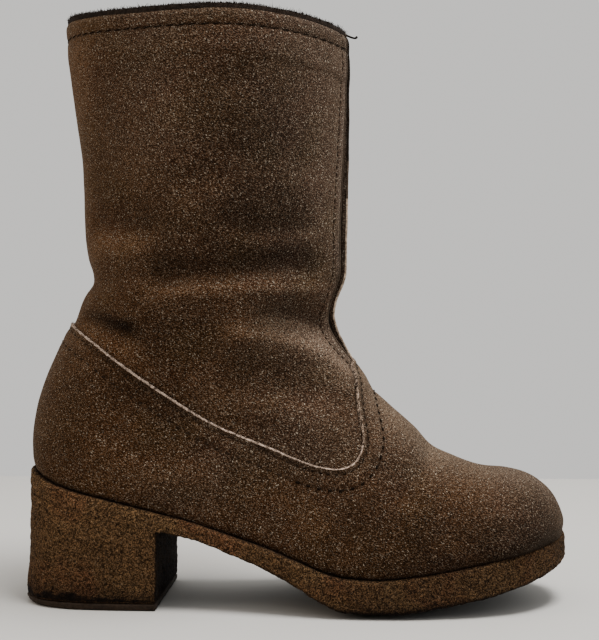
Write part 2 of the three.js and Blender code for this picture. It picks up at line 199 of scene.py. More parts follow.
# soft troughs (-) and ridges (+): height mm, width above and below mm, share on the inner side, then points x, z
FOLDS = [
    ("over-ankle trough", -3.1, 9.2, 6.8, 0.8, [(67.8, 149.0), (85.4, 149.5), (103.0, 150.4), (117.1, 151.7), (131.2, 152.1)]),
    ("over-ankle ridge", 1.0, 5.0, 6.0, 0.8, [(81.0, 140.7), (103.0, 141.1), (125.0, 142.0), (137.4, 141.6)]),
    ("bend trough", -1.6, 5.2, 4.2, 1.0, [(112.7, 131.0), (124.2, 131.0), (133.0, 129.2), (141.8, 124.4)]),
    ("back crease", -1.8, 4.6, 8.0, 1.0, [(32.6, 129.2), (41.4, 126.2), (51.1, 123.1)]),
    ("instep ridge", 2.7, 5.8, 9.6, 1.0, [(103.0, 121.3), (118.4, 118.2), (130.8, 114.7), (141.3, 109.0), (149.3, 102.0)]),
    ("under the instep ridge", -0.6, 6.5, 8.0, 1.0, [(97.8, 100.6), (121.5, 95.4), (142.6, 91.0)]),
    ("quarter swell", 0.7, 7.0, 7.0, 1.0, [(116.2, 89.2), (131.2, 85.7), (147.1, 84.8)]),
    ("shaft hollow back", -1.7, 9.0, 6.6, 0.6, [(37.9, 171.5), (49.3, 171.1), (60.8, 170.2)]),
    ("shaft bulge back", 0.8, 6.0, 8.0, 0.6, [(37.9, 157.0), (49.3, 157.0), (61.7, 157.8)]),
    ("shaft hollow front", -1.2, 6.0, 4.6, 0.6, [(99.5, 169.3), (110.1, 168.4), (121.5, 168.4), (131.2, 169.7)]),
    ("shaft bulge front", 0.7, 8.5, 8.5, 0.6, [(76.6, 177.2), (88.1, 179.0), (99.5, 186.0), (120.6, 187.8), (140.9, 186.9)]),
    ("shaft swell", 0.8, 16.0, 16.0, 0.5, [(63.4, 230.0), (67.0, 203.6)]),
    ("shaft dip", -0.9, 13.0, 13.0, 0.5, [(95.1, 230.0), (92.5, 194.8)]),
    ("flex trough", -1.0, 6.0, 6.0, 1.0, [(189.7, 73.3), (184.0, 64.5), (176.1, 54.0)]),
    ("flex swell", 0.8, 8.0, 8.0, 1.0, [(175.2, 82.2), (168.2, 70.7)]),
    ("counter swell", 0.8, 9.0, 9.0, 1.0, [(39.7, 66.3), (63.4, 61.0), (88.1, 55.7)]),
    ("heel dent", -0.8, 9.0, 9.0, 1.0, [(50.2, 91.8), (70.5, 83.0)]),
]


def dist_line(X, Z, pts):
    """distance to a polyline in x, z"""
    best = np.full(X.shape, 1e9)
    for (x0, z0), (x1, z1) in zip(pts[:-1], pts[1:]):
        dx, dz = x1 - x0, z1 - z0
        t = np.clip(((X - x0) * dx + (Z - z0) * dz) / (dx * dx + dz * dz), 0, 1)
        best = np.minimum(best, np.hypot(X - x0 - t * dx, Z - z0 - t * dz))
    return best


def spline(pts, per=8):
    p = np.asarray(pts, float)
    q = np.vstack([2 * p[0] - p[1], p, 2 * p[-1] - p[-2]])
    out = []
    for i in range(1, len(q) - 2):
        a, b, c, d = q[i - 1], q[i], q[i + 1], q[i + 2]
        for t in np.arange(per) / per:
            out.append(.5 * (2 * b + (c - a) * t + (2 * a - 5 * b + 4 * c - d) * t * t + (3 * b - a - 3 * c + d) * t ** 3))
    out.append(q[-2])
    return np.array(out)


LAP_LINE = spline(LAP, 6)


def lap_field(P):
    """signed distance to the lap line in the side view: positive on the shaft, negative on the vamp"""
    X, Z = P[..., 0], P[..., 2]
    d = dist_line(X, Z, [tuple(a) for a in LAP_LINE])
    poly = np.vstack([LAP_LINE, [190, 330], [-60, 330], [-60, 151]])
    inside = np.zeros(X.shape, bool)
    for (x0, z0), (x1, z1) in zip(poly, np.roll(poly, -1, axis=0)):
        c = (z0 > Z) != (z1 > Z)
        inside ^= c & (X < (x1 - x0) * (Z - z0) / (z1 - z0 + 1e-12) + x0)
    return np.where(inside, d, -d)


def fold_height(P, A):
    X, Y, Z = P[..., 0], P[..., 1], P[..., 2]
    d = np.zeros(X.shape)
    lat = smooth01((8 - Y) / 16)
    wob = vnoise(P, 26, 5) * 1.6 + vnoise(P, 11, 6) * .8
    for name, h, w_up, w_down, inner, pts in FOLDS:
        pts = [tuple(a) for a in spline(pts, 4)] if len(pts) > 2 else pts
        k = lat + (1 - lat) * inner
        Zw = Z + wob * .5
        dd = dist_line(X, Zw, pts)
        order = sorted(pts)
        over = Zw - np.interp(X, [a[0] for a in order], [a[1] for a in order])
        w = w_down + (w_up - w_down) * (.5 + .5 * np.clip(over / np.maximum(dd, 1e-6), -1, 1))
        d += h * k * np.exp(-(dd / w) ** 2)
    # folds run out at the front seam and at the back, where the side outline is
    arc = np.abs(A)
    rear = np.where(A < 0, np.abs(A[:, :1]), np.abs(A[:, -1:])) - arc
    d *= 1 - .88 * np.exp(-(np.maximum(arc - 5, 0) / 6.5) ** 2) - .80 * np.exp(-(rear / 10.0) ** 2)
    d += .30 * vnoise(P, 17, 11) + .15 * vnoise(P, 7, 12)
    return d


# ---------------------------------------------------------------- grids over the last
def half_grid(us, side, cuts):
    """cuts: function(length) -> arclength positions from the ridge, the same count for each row"""
    r = section(us)
    th = side * np.linspace(0, math.pi, 320)[None, :].repeat(len(us), 0)
    P = surface(r, us, th)
    seg = np.linalg.norm(np.diff(P, axis=1), axis=-1)
    S = np.concatenate([np.zeros((len(us), 1)), np.cumsum(seg, 1)], 1)
    T = np.empty((len(us), len(cuts(100.0))))
    A = np.empty_like(T)
    for i in range(len(us)):
        a = cuts(S[i, -1])
        T[i] = np.interp(a, S[i], th[i]); A[i] = a
    return surface(r, us, T), side * A


def rows_by_pitch(u0, u1, pitch, front_weight=.45):
    """station values so that neighbouring rows lie about pitch apart where they fan out most"""
    u = np.linspace(u0, u1, 3000)
    r = section(u)
    dT = np.hypot(np.diff(r[:, 0]), np.diff(r[:, 1])); dB = np.hypot(np.diff(r[:, 2]), np.diff(r[:, 3]))
    d = np.maximum(np.maximum(dT, dB * .92), (dT + dB) * .5)
    S = np.concatenate([[0], np.cumsum(d)])
    n = max(2, int(round(S[-1] / pitch)))
    return np.interp(np.linspace(0, S[-1], n + 1), S, u)


def fine_then_even(fine_len, fine_n, rest_n, squeeze=1.0):
    def f(L):
        a = np.linspace(0, 1, fine_n + 1)[:-1] * min(fine_len, .3 * L)
        b = np.linspace(min(fine_len, .3 * L), L, rest_n + 1)
        return np.concatenate([a, b])
    return f


def ring_grid(us, cuts_l, cuts_m):
    """full rings, from the back round the outer side to the ridge and round the inner side to the back"""
    Pl, Al = half_grid(us, -1, cuts_l)
    Pm, Am = half_grid(us, 1, cuts_m)
    P = np.concatenate([Pl[:, ::-1], Pm[:, 1:]], 1)
    A = np.concatenate([Al[:, ::-1], Am[:, 1:]], 1)
    return P, A


def mesh_object(name, V, F, attrs=None, smooth=True, mats=None, mat_index=None):
    me = bpy.data.meshes.new(name)
    V = (np.asarray(V, float).reshape(-1, 3) - CENTRE) / 1000.0
    F = [np.asarray(f) for f in F] if isinstance(F, list) else F
    if isinstance(F, np.ndarray):
        n, k = F.shape
        loops = F.ravel(); starts = np.arange(n) * k; tot = np.full(n, k)
    else:
        parts = [f for f in F if len(f)]
        loops = np.concatenate([f.ravel() for f in parts])
        tot = np.concatenate([np.full(len(f), f.shape[1]) for f in parts])
        starts = np.concatenate([[0], np.cumsum(tot)[:-1]])
    me.vertices.add(len(V)); me.vertices.foreach_set("co", V.astype(np.float32).ravel())
    me.loops.add(len(loops)); me.loops.foreach_set("vertex_index", loops.astype(np.int32))
    me.polygons.add(len(tot))
    me.polygons.foreach_set("loop_start", starts.astype(np.int32))
    me.update(calc_edges=True)
    me.validate()
    if smooth:
        me.polygons.foreach_set("use_smooth", np.ones(len(me.polygons), bool))
    for k, v in (attrs or {}).items():
        a = me.attributes.new(k, "FLOAT", "POINT")
        a.data.foreach_set("value", np.asarray(v, np.float32).ravel())
    ob = bpy.data.objects.new(name, me)
    bpy.context.scene.collection.objects.link(ob)
    for m in (mats or []):
        me.materials.append(m)
    if mat_index is not None and len(mat_index) == len(me.polygons):
        me.polygons.foreach_set("material_index", np.asarray(mat_index, np.int32))
    return ob


def grid_faces(nr, nc, keep=None, closed=False):
    i, j = np.meshgrid(np.arange(nr - 1), np.arange(nc if closed else nc - 1), indexing="ij")
    j2 = (j + 1) % nc
    q = np.stack([i * nc + j, i * nc + j2, (i + 1) * nc + j2, (i + 1) * nc + j], -1)
    return q[keep] if keep is not None else q.reshape(-1, 4)


def compact(V, F, attrs):
    used = np.unique(F)
    new = np.full(len(V), -1); new[used] = np.arange(len(used))
    return V[used], new[F], {k: v.reshape(-1)[used] for k, v in attrs.items()}


def snap(P, S, keep):
    """moves the edge vertices of the kept cells along the surface on to S = 0"""
    nr, nc = S.shape
    touch = np.zeros((nr, nc), int); total = np.zeros((nr, nc), int)
    for a in (0, 1):
        for b in (0, 1):
            total[a:nr - 1 + a, b:nc - 1 + b] += 1
            touch[a:nr - 1 + a, b:nc - 1 + b] += keep
    edge = (touch > 0) & (touch < total)
    du = np.gradient(P, axis=0); dv = np.gradient(P, axis=1)
    su = np.gradient(S, axis=0); sv = np.gradient(S, axis=1)
    E = (du * du).sum(-1); Fm = (du * dv).sum(-1); G = (dv * dv).sum(-1)
    det = np.maximum(E * G - Fm * Fm, 1e-9)
    a = (G * su - Fm * sv) / det; b = (E * sv - Fm * su) / det
    g = a[..., None] * du + b[..., None] * dv
    g2 = np.maximum((g * g).sum(-1), 1e-9)
    step = -(S / g2)[..., None] * g
    ln = np.linalg.norm(step, axis=-1, keepdims=True)
    step *= np.minimum(1, 2.0 / np.maximum(ln, 1e-9))
    ok = edge & (np.abs(S) < 3.0)
    return np.where(ok[..., None], P + step, P)


def iso_lines(P, N, S, level):
    """chains of points and normals where S crosses level on the grid"""
    D = S - level
    nr, nc = S.shape
    pts, nrm, key = [], [], {}

    def edge_point(a, b):
        k = (a, b) if a < b else (b, a)
        if k not in key:
            (i0, j0), (i1, j1) = k
            t = D[i0, j0] / (D[i0, j0] - D[i1, j1])
            pts.append(P[i0, j0] * (1 - t) + P[i1, j1] * t)
            nrm.append(N[i0, j0] * (1 - t) + N[i1, j1] * t)
            key[k] = len(pts) - 1
        return key[k]
    sg = D > 0
    mixed = (sg[:-1, :-1] != sg[1:, :-1]) | (sg[:-1, :-1] != sg[:-1, 1:]) | (sg[:-1, :-1] != sg[1:, 1:])
    link = {}
    for i, j in zip(*np.nonzero(mixed)):
        c = [(i, j), (i, j + 1), (i + 1, j + 1), (i + 1, j)]
        cr = [edge_point(c[k], c[(k + 1) % 4]) for k in range(4) if sg[c[k]] != sg[c[(k + 1) % 4]]]
        for k in range(0, len(cr) - 1, 2):
            link.setdefault(cr[k], []).append(cr[k + 1]); link.setdefault(cr[k + 1], []).append(cr[k])
    seen, chains = set(), []
    for s in sorted(link, key=lambda k: len(link[k])):
        if s in seen:
            continue
        ch = [s]; seen.add(s)
        while True:
            nx = [q for q in link[ch[-1]] if q not in seen]
            if not nx:
                break
            ch.append(nx[0]); seen.add(nx[0])
        if len(ch) > 8:
            chains.append((np.array([pts[k] for k in ch]), np.array([nrm[k] for k in ch])))
    return sorted(chains, key=lambda c: -len(c[0]))


def resample(C, Nn, pitch, smooth=0, closed=False):
    C = C.copy()
    for _ in range(smooth):
        if closed:
            C = (np.roll(C, 1, 0) + 2 * C + np.roll(C, -1, 0)) / 4
        else:
            C[1:-1] = (C[:-2] + 2 * C[1:-1] + C[2:]) / 4
    if closed:
        C = np.vstack([C, C[:1]]); Nn = np.vstack([Nn, Nn[:1]])
    S = np.concatenate([[0], np.cumsum(np.linalg.norm(np.diff(C, axis=0), axis=1))])
    n = max(2, int(S[-1] / pitch))
    q = np.linspace(0, S[-1], n + 1)
    f = lambda A: np.stack([np.interp(q, S, A[:, k]) for k in range(3)], 1)
    R, M = f(C), f(Nn)
    M /= np.maximum(np.linalg.norm(M, axis=1, keepdims=True), 1e-9)
    return R, M


def tangents(C):
    T = np.gradient(C, axis=0)
    return T / np.maximum(np.linalg.norm(T, axis=1, keepdims=True), 1e-9)


def stitches(C, Nn, pitch, length, rad, sink=.35, slant=0.0, jitter=.0, seed=1, lift=.0):
    """separate thread stitches along a curve: V, F"""
    rng = np.random.default_rng(seed)
    S = np.concatenate([[0], np.cumsum(np.linalg.norm(np.diff(C, axis=0), axis=1))])
    T = tangents(C)
    V, F = [], []
    nseg, nring = 7, 6
    tt = np.linspace(-1, 1, nseg)
    base = 0
    pos = np.arange(pitch * .5, S[-1] - pitch * .4, pitch)
    for s in pos:
        s += rng.normal(0, jitter)
        f = lambda A: np.array([np.interp(s, S, A[:, k]) for k in range(3)])
        c, n, t = f(C), f(Nn), f(T)
        n /= np.linalg.norm(n); t -= n * t.dot(n); t /= np.linalg.norm(t); b = np.cross(n, t)
        d = t * math.cos(slant) + b * math.sin(slant)
        e = np.cross(n, d)
        L = length * .5 * (1 + rng.normal(0, .04))
        for k, q in enumerate(tt):
            prof = max(0.0, 1 - abs(q) ** 3.2) ** .5
            centre = c + d * (q * L) + n * (rad * (1 - sink) - (q * q) * rad * 1.5 + lift)
            rr = rad * (.30 + .70 * prof)
            for m in range(nring):
                an = 2 * math.pi * m / nring
                V.append(centre + rr * (math.cos(an) * e + math.sin(an) * n * .9))
        for k in range(nseg - 1):
            for m in range(nring):
                a = base + k * nring + m; b2 = base + k * nring + (m + 1) % nring
                F.append([a, b2, b2 + nring, a + nring])
        base += nseg * nring
    return np.array(V), np.array(F)


def ribbon(C, Nn, side, profile, noise=0.0, seed=3, closed=False):
    """profile: [(across, out)] swept along C; across is measured along side x"""
    T = tangents(C)
    B = np.cross(Nn, T)
    B /= np.linalg.norm(B, axis=1, keepdims=True)
    rows = []
    for k, (a, o) in enumerate(profile):
        p = C + side * a * B + o * Nn
        if noise:
            p = p + (noise * vnoise(p, 1.3, seed + k))[:, None] * B + (noise * .6 * vnoise(p, .9, seed + 9 + k))[:, None] * Nn
        rows.append(p)
    P = np.stack(rows, 1)
    return P.reshape(-1, 3), grid_faces(len(C), len(profile))


def fibres(points, dirs, lens, rads, seed=5):
    """thin three-sided spikes"""
    rng = np.random.default_rng(seed)
    n = len(points)
    d = dirs / np.linalg.norm(dirs, axis=1, keepdims=True)
    a = np.cross(d, rng.normal(size=(n, 3))); a /= np.linalg.norm(a, axis=1, keepdims=True)
    b = np.cross(d, a)
    bend = rng.normal(size=(n, 3)) * .25
    V = []
    for lev, (t, w) in enumerate(((0, 1.0), (.55, .7), (1.0, .12))):
        c = points + d * (lens * t)[:, None] + bend * (lens * t * t)[:, None]
        for k in range(3):
            an = 2 * math.pi * k / 3
            V.append(c + (rads * w)[:, None] * (math.cos(an) * a + math.sin(an) * b))
    V = np.stack(V, 1)
    F = []
    for lev in range(2):
        for k in range(3):
            F.append([lev * 3 + k, lev * 3 + (k + 1) % 3, lev * 3 + 3 + (k + 1) % 3, lev * 3 + 3 + k])
    F = (np.arange(n)[:, None, None] * 9 + np.array(F)[None]).reshape(-1, 4)
    return V.reshape(-1, 3), F


# ---------------------------------------------------------------- materials
def new_mat(name):
    m = bpy.data.materials.new(name)
    m.use_nodes = True
    nt = m.node_tree
    for n in list(nt.nodes):
        nt.nodes.remove(n)
    out = nt.nodes.new("ShaderNodeOutputMaterial")
    bs = nt.nodes.new("ShaderNodeBsdfPrincipled")
    nt.links.new(bs.outputs[0], out.inputs[0])
    return m, nt, bs


def N_(nt, kind, **kw):
    n = nt.nodes.new(kind)
    for k, v in kw.items():
        setattr(n, k, v)
    return n


def noise(nt, vec, scale, detail=3, rough=.6, dist=0.0):
    n = N_(nt, "ShaderNodeTexNoise")
    n.inputs["Scale"].default_value = scale
    n.inputs["Detail"].default_value = detail
    n.inputs["Roughness"].default_value = rough
    n.inputs["Distortion"].default_value = dist
    nt.links.new(vec, n.inputs["Vector"])
    return n.outputs["Fac"]


def voronoi(nt, vec, scale, feature="F1", rnd=1.0, smooth=None):
    n = N_(nt, "ShaderNodeTexVoronoi", feature=feature)
    n.inputs["Scale"].default_value = scale
    n.inputs["Randomness"].default_value = rnd
    if smooth is not None:
        n.inputs["Smoothness"].default_value = smooth
    nt.links.new(vec, n.inputs["Vector"])
    return n


def ramp(nt, fac, stops, interp="LINEAR"):
    n = N_(nt, "ShaderNodeValToRGB")
    cr = n.color_ramp
    cr.interpolation = interp
    while len(cr.elements) < len(stops):
        cr.elements.new(.5)
    for e, (p, c) in zip(cr.elements, stops):
        e.position = p
        e.color = (c, c, c, 1) if isinstance(c, (int, float)) else (*c, 1)
    nt.links.new(fac, n.inputs[0])
    return n.outputs[0]


def maths(nt, op, a, b=None, c=None, clamp=False):
    n = N_(nt, "ShaderNodeMath", operation=op, use_clamp=clamp)
    for k, v in enumerate((a, b, c)):
        if v is None:
            continue
        if isinstance(v, (int, float)):
            n.inputs[k].default_value = v
        else:
            nt.links.new(v, n.inputs[k])
    return n.outputs[0]


def mixc(nt, fac, a, b, mode="MIX"):
    n = N_(nt, "ShaderNodeMix", data_type="RGBA", blend_type=mode)
    for k, v in ((0, fac), (6, a), (7, b)):
        if isinstance(v, (int, float)):
            n.inputs[k].default_value = v
        elif isinstance(v, tuple):
            n.inputs[k].default_value = (*v, 1)
        else:
            nt.links.new(v, n.inputs[k])
    return n.outputs[2]


def bump(nt, height, dist, strength=1.0, normal=None):
    n = N_(nt, "ShaderNodeBump")
    n.inputs["Strength"].default_value = strength
    n.inputs["Distance"].default_value = dist
    nt.links.new(height, n.inputs["Height"])
    if normal is not None:
        nt.links.new(normal, n.inputs["Normal"])
    return n.outputs[0]


def coords(nt):
    g = N_(nt, "ShaderNodeTexCoord")
    return g.outputs["Object"]


def attr(nt, name):
    a = N_(nt, "ShaderNodeAttribute", attribute_name=name)
    return a.outputs["Fac"]


def grey_of(nt, fac):
    n = N_(nt, "ShaderNodeCombineColor")
    for k in range(3):
        nt.links.new(fac, n.inputs[k])
    return n.outputs[0]


def suede(name, dark, mid, light, worn, use_attr=True):
    m, nt, bs = new_mat(name)
    v = coords(nt)
    big = noise(nt, v, 20, 2, .5)
    med = noise(nt, v, 75, 2, .5)
    # short lying hairs: noise drawn out along the lie of the nap
    maps = []
    for k, (rot, st) in enumerate((((.0, .50, .1), (2.1, .9, .9)), ((.2, -.35, .4), (1.5, .9, .9)))):
        mp = N_(nt, "ShaderNodeMapping", vector_type="TEXTURE")
        mp.inputs["Rotation"].default_value = rot
        mp.inputs["Scale"].default_value = st
        nt.links.new(v, mp.inputs["Vector"])
        maps.append(noise(nt, mp.outputs[0], 2550 + 500 * k, 0, .5))
    nap_a, nap_b = maps
    spk = noise(nt, v, 1700, 0, .5)
    base = ramp(nt, big, [(.30, dark), (.50, mid), (.72, light)])
    redd = noise(nt, v, 36, 1, .5, .3)
    base = mixc(nt, ramp(nt, redd, [(.48, 0.0), (.72, .24)]), base, (mid[0] * 1.12, mid[1] * .84, mid[2] * .86))
    olive = noise(nt, v, 33, 1, .5, .2)
    base = mixc(nt, ramp(nt, olive, [(.46, 0.0), (.70, .42)]), base, (mid[0] * .92, mid[1] * 1.06, mid[2] * .72))
    base = mixc(nt, ramp(nt, med, [(.34, .16), (.56, 0.0)]), base, tuple(c * .5 for c in mid))
    painted_tip_light = 1.0
    if use_attr:
        # paler hair tips and specks follow the painted light and shade
        painted_tip_light = maths(nt, "MULTIPLY_ADD", attr(nt, "tone"), .75, .12)
        # mixes toward the paler colour where the attribute says: painted highlight
        w = attr(nt, "worn")
        base = mixc(nt, maths(nt, "MULTIPLY", w, maths(nt, "MULTIPLY_ADD", med, .7, .62), clamp=True), base, worn)
        # painted light colour: mixes between a cool and a warm copy of the colour
        base = mixc(nt, attr(nt, "warm"), mixc(nt, 1.0, base, (.88, 1.03, 1.48), "MULTIPLY"), mixc(nt, 1.0, base, (1.16, .965, .62), "MULTIPLY"))
        # multiplies in the painted light and shade
        base = mixc(nt, 1.0, base, grey_of(nt, attr(nt, "tone")), "MULTIPLY")
    lit = ramp(nt, nap_a, [(.34, .36), (.50, .80), (.60, 1.22), (.74, 1.8)])
    base = mixc(nt, 1.0, base, lit, "MULTIPLY")
    gap = ramp(nt, nap_b, [(.32, .24), (.47, .95), (.70, 1.35)])
    base = mixc(nt, 1.0, base, gap, "MULTIPLY")
    # paler hair tips
    base = mixc(nt, maths(nt, "MULTIPLY", ramp(nt, nap_a, [(.56, 0.0), (.78, .66)]), painted_tip_light, clamp=True), base, (.186, .147, .106))
    sp = ramp(nt, spk, [(.685, 0.0), (.76, .95)])
    base = mixc(nt, maths(nt, "MULTIPLY", maths(nt, "MULTIPLY", sp, painted_tip_light), ramp(nt, nap_a, [(.40, .15), (.58, 1.0)]), clamp=True), base, (.40, .34, .262))
    if use_attr:
        # painted shade: darkens toward a very dark brown where the shade attribute says
        s = attr(nt, "shade")
        base = mixc(nt, s, base, tuple(c * .16 for c in dark))
    nt.links.new(base, bs.inputs["Base Color"])
    bs.inputs["Roughness"].default_value = .96
    bs.inputs["Specular IOR Level"].default_value = .07
    bs.inputs["Sheen Weight"].default_value = .15
    bs.inputs["Sheen Roughness"].default_value = .40
    bs.inputs["Sheen Tint"].default_value = (.60, .45, .31, 1)
    h = maths(nt, "ADD", maths(nt, "MULTIPLY", nap_a, .6), maths(nt, "ADD", maths(nt, "MULTIPLY", spk, .3), maths(nt, "MULTIPLY", med, 1.0)))
    nt.links.new(bump(nt, h, .0007, .7), bs.inputs["Normal"])
    return m


def crepe(name, dark, mid, light):
    m, nt, bs = new_mat(name)
    v = coords(nt)
    big = noise(nt, v, 30, 3, .6)
    med = noise(nt, v, 480, 2, .5, .8)
    grit = noise(nt, v, 1450, 1, .5, .3)
    pit = noise(nt, v, 760, 1, .5, .6)
    fine = noise(nt, v, 2000, 1, .5)
    base = ramp(nt, big, [(.32, dark), (.52, mid), (.70, light)])
    red = noise(nt, v, 44, 2, .5, .3)
    base = mixc(nt, ramp(nt, red, [(.50, 0.0), (.68, .55)]), base, (mid[0] * 1.12, mid[1] * .80, mid[2] * .86))
    base = mixc(nt, ramp(nt, med, [(.38, .50), (.48, 0.0)]), base, tuple(c * .26 for c in mid))
    base = mixc(nt, ramp(nt, grit, [(.39, .90), (.48, 0.0)]), base, tuple(c * .14 for c in mid))
    base = mixc(nt, ramp(nt, grit, [(.62, 0.0), (.76, .70)]), base, (.20, .145, .090))
    base = mixc(nt, ramp(nt, pit, [(.34, .80), (.41, 0.0)]), base, tuple(c * .14 for c in mid))
    base = mixc(nt, ramp(nt, pit, [(.60, 0.0), (.72, .45)]), base, tuple(c * 1.45 for c in mid))
    nap = ramp(nt, fine, [(.37, .44), (.5, 1.0), (.64, 1.90)])
    base = mixc(nt, 1.0, base, nap, "MULTIPLY")
    tall = N_(nt, "ShaderNodeSeparateXYZ")
    nt.links.new(v, tall.inputs[0])
    base = mixc(nt, 1.0, base, ramp(nt, maths(nt, "MULTIPLY", tall.outputs[2], 10.0, clamp=True), [(.22, .96), (.46, 1.30)]), "MULTIPLY")
    # mixes toward near black where the shade attribute says: painted shade, mottled by noise
    painted_shade_crepe = attr(nt, "shade")
    base = mixc(nt, maths(nt, "MULTIPLY", painted_shade_crepe, maths(nt, "MULTIPLY_ADD", med, 1.0, .5), clamp=True), base, (.0065, .004, .003))
    nt.links.new(base, bs.inputs["Base Color"])
    bs.inputs["Roughness"].default_value = .90
    bs.inputs["Specular IOR Level"].default_value = .07
    h = maths(nt, "ADD", maths(nt, "MULTIPLY", med, 1.2), maths(nt, "ADD", maths(nt, "MULTIPLY", grit, .9), maths(nt, "ADD", maths(nt, "MULTIPLY", fine, .35), maths(nt, "MULTIPLY", pit, .9))))
    nt.links.new(bump(nt, h, .0020, .9), bs.inputs["Normal"])
    return m


SUEDE = dict(dark=(.043, .0202, .0084), mid=(.0600, .0284, .0119), light=(.078, .0392, .0175), worn=(.114, .075, .044))
m_suede = suede("suede_shaft", **SUEDE)
m_vamp = suede("suede_vamp", **SUEDE)
m_crepe = crepe("crepe_rubber", dark=(.077, .0400, .0175), mid=(.119, .0640, .0280), light=(.150, .0870, .0390))


def simple_cloth(name, c1, c2, scale, rough=.95, bump_m=.0006, sheen=.2, spec=.15, wide=.2):
    m, nt, bs = new_mat(name)
    v = coords(nt)
    a = noise(nt, v, scale, 4, .7)
    b = noise(nt, v, scale * .12, 3, .6)
    base = ramp(nt, a, [(.5 - wide, c1), (.5 + wide, c2)])
    base = mixc(nt, ramp(nt, b, [(.35, .4), (.6, 0.0)]), base, tuple(k * .5 for k in c1))
    nt.links.new(base, bs.inputs["Base Color"])
    bs.inputs["Roughness"].default_value = rough
    bs.inputs["Specular IOR Level"].default_value = spec
    bs.inputs["Sheen Weight"].default_value = sheen
    nt.links.new(bump(nt, a, bump_m, .8), bs.inputs["Normal"])
    return m


m_edge = simple_cloth("cut_edge", (.060, .038, .025), (.72, .54, .42), 560, .95, .0006, .05, .15, .13)
# brighter and darker copies of the cut edge colour for the front seam: painted light and painted shade
m_edge_lit = simple_cloth("cut_edge_lit", (.20, .145, .10), (.74, .57, .43), 620, .95, .0006, .05, .15, .12)
m_edge_bead = simple_cloth("cut_edge_beaded", (.030, .018, .011), (.50, .37, .275), 760, .95, .0008, .0, .08, .07)
m_edge_shaded = simple_cloth("cut_edge_shaded", (.040, .026, .017), (.14, .10, .070), 1300, .95, .0006, .0, .05)
m_edge_deep_shade = simple_cloth("cut_edge_deep_shade", (.010, .007, .005), (.034, .024, .017), 1300, .95, .0006, .0, .03)
# near-black colour for the seam gap: painted shadow
m_gap_shadow = simple_cloth("seam_gap_shadow", (.004, .003, .0025), (.012, .0085, .006), 900, .95, .0006, .0, .03)
m_thread = simple_cloth("thread", (.005, .0035, .0025), (.013, .008, .005), 2200, .95, .0003, .0, .04)
m_thread_mid = simple_cloth("thread_brown", (.012, .007, .004), (.034, .021, .013), 2200, .95, .0003, .0, .05)
m_lining = simple_cloth("lining_pile", (.010, .006, .004), (.028, .017, .011), 700, 1.0, .0016, .0)
m_fibre = simple_cloth("pile_fibre", (.008, .005, .003), (.026, .016, .010), 500, 1.0, .0002, .0)
m_board = simple_cloth("insole_board", (.12, .075, .045), (.21, .14, .085), 420, .8, .0004, .0)
m_tip = simple_cloth("top_piece", (.016, .010, .007), (.048, .030, .019), 650, .85, .0010, .0)

pieces = []


def add(ob, slot, *replaced):
    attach(ob, "root")
    if replaced:
        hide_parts(*replaced)
    pieces.append(ob)
    return ob


# ---------------------------------------------------------------- shaft
def seam_offset(u):
    """how far toward the outer side the front seam lies from the ridge, in mm of arc"""
    return np.interp(u, [12, 13.6, 14.2, 15, 16, 18, 22, 26, 28, 29, 30.5, 31.7, 33, 34], [.3, .9, 2.0, 3.3, 4.2, 4.5, 5.0, 6.2, 6.5, 6.3, 4.9, 3.2, 2.5, 2.3])


us = rows_by_pitch(11.0, LAST, 1.18)
P, A = ring_grid(us, fine_then_even(19.0, 42, 122), fine_then_even(9.0, 14, 122))
U = us[:, None].repeat(P.shape[1], 1)
N = normals(P)
lap = lap_field(P)
d = fold_height(P, A)
# tucked under the vamp below the lap
d -= 1.25 * np.exp(-(np.maximum(lap, 0) / 9.0) ** 2)
# front seam: two cut edges with a near-black strip between them, painted shadow in the gap
q = A + seam_offset(U)              # + toward the inner side of the seam line
in_seam = smooth01((U - 13.2) / .8)
half = np.interp(U, [13, 14.4, 15.4, 17, 22, 26, 29, 31.5, 34], [.6, 1.8, 2.8, 3.1, 3.3, 4.1, 4.0, 3.6, 3.4])
groove = smooth01((half + .35 - np.abs(q)) / .5)
lip = np.exp(-((np.abs(q) - half - 1.2) / 1.3) ** 2)
stitch_dip = np.exp(-((np.abs(q) - half - 5.0) / .9) ** 2)
d += in_seam * (-1.9 * groove + .45 * lip - .35 * stitch_dip + .30 * np.exp(-((np.abs(q) - half - 3.2) / 1.8) ** 2))
# back seam: closed, with a fine crease
back = np.minimum(np.arange(P.shape[1]), P.shape[1] - 1 - np.arange(P.shape[1])) * 1.2
d += (-.45 * np.exp(-(back / 1.0) ** 2) + .18 * np.exp(-((back - 3.2) / 1.6) ** 2))[None, :]
# collar: turned band under the stitch row, dent along the stitches, rounded rim
cz = feather_z(P[..., 0]) * 0 + (P[-1][None, :, 2] - P[..., 2])      # depth below the collar edge
facing = np.interp(P[..., 0], [15, 60, 95, 120, 150], [18.6, 20.0, 20.6, 21.6, 23.0])
d += .75 * smooth01((facing + 1.0 - cz) / 2.4) * (.45 + .55 * smooth01((cz - 7.0) / 10.0)) * (1 - .9 * np.exp(-(A / 9.0) ** 2)) - .45 * np.exp(-((cz - 8.0) / 1.0) ** 2)
rear = np.exp(-(back / 22.0) ** 2)[None, :]
d += .72 * rear * (1 - smooth01((facing + 1.0 - cz) / 2.4)) * smooth01((P[..., 2] - 151) / 12)
d -= .95 * np.exp(-(back / 15.0) ** 2)[None, :] * np.exp(-((P[..., 2] - 146.3) / 3.2) ** 2)
d -= 1.0 * np.exp(-(cz / .9) ** 2)
Q = P + N * d[..., None]
lift = .95 * smooth01((38 - P[..., 0]) / 20)
Q[..., 2] -= (1.25 - lift) * np.exp(-(cz / 7.0) ** 2)
NQ = normals(Q)
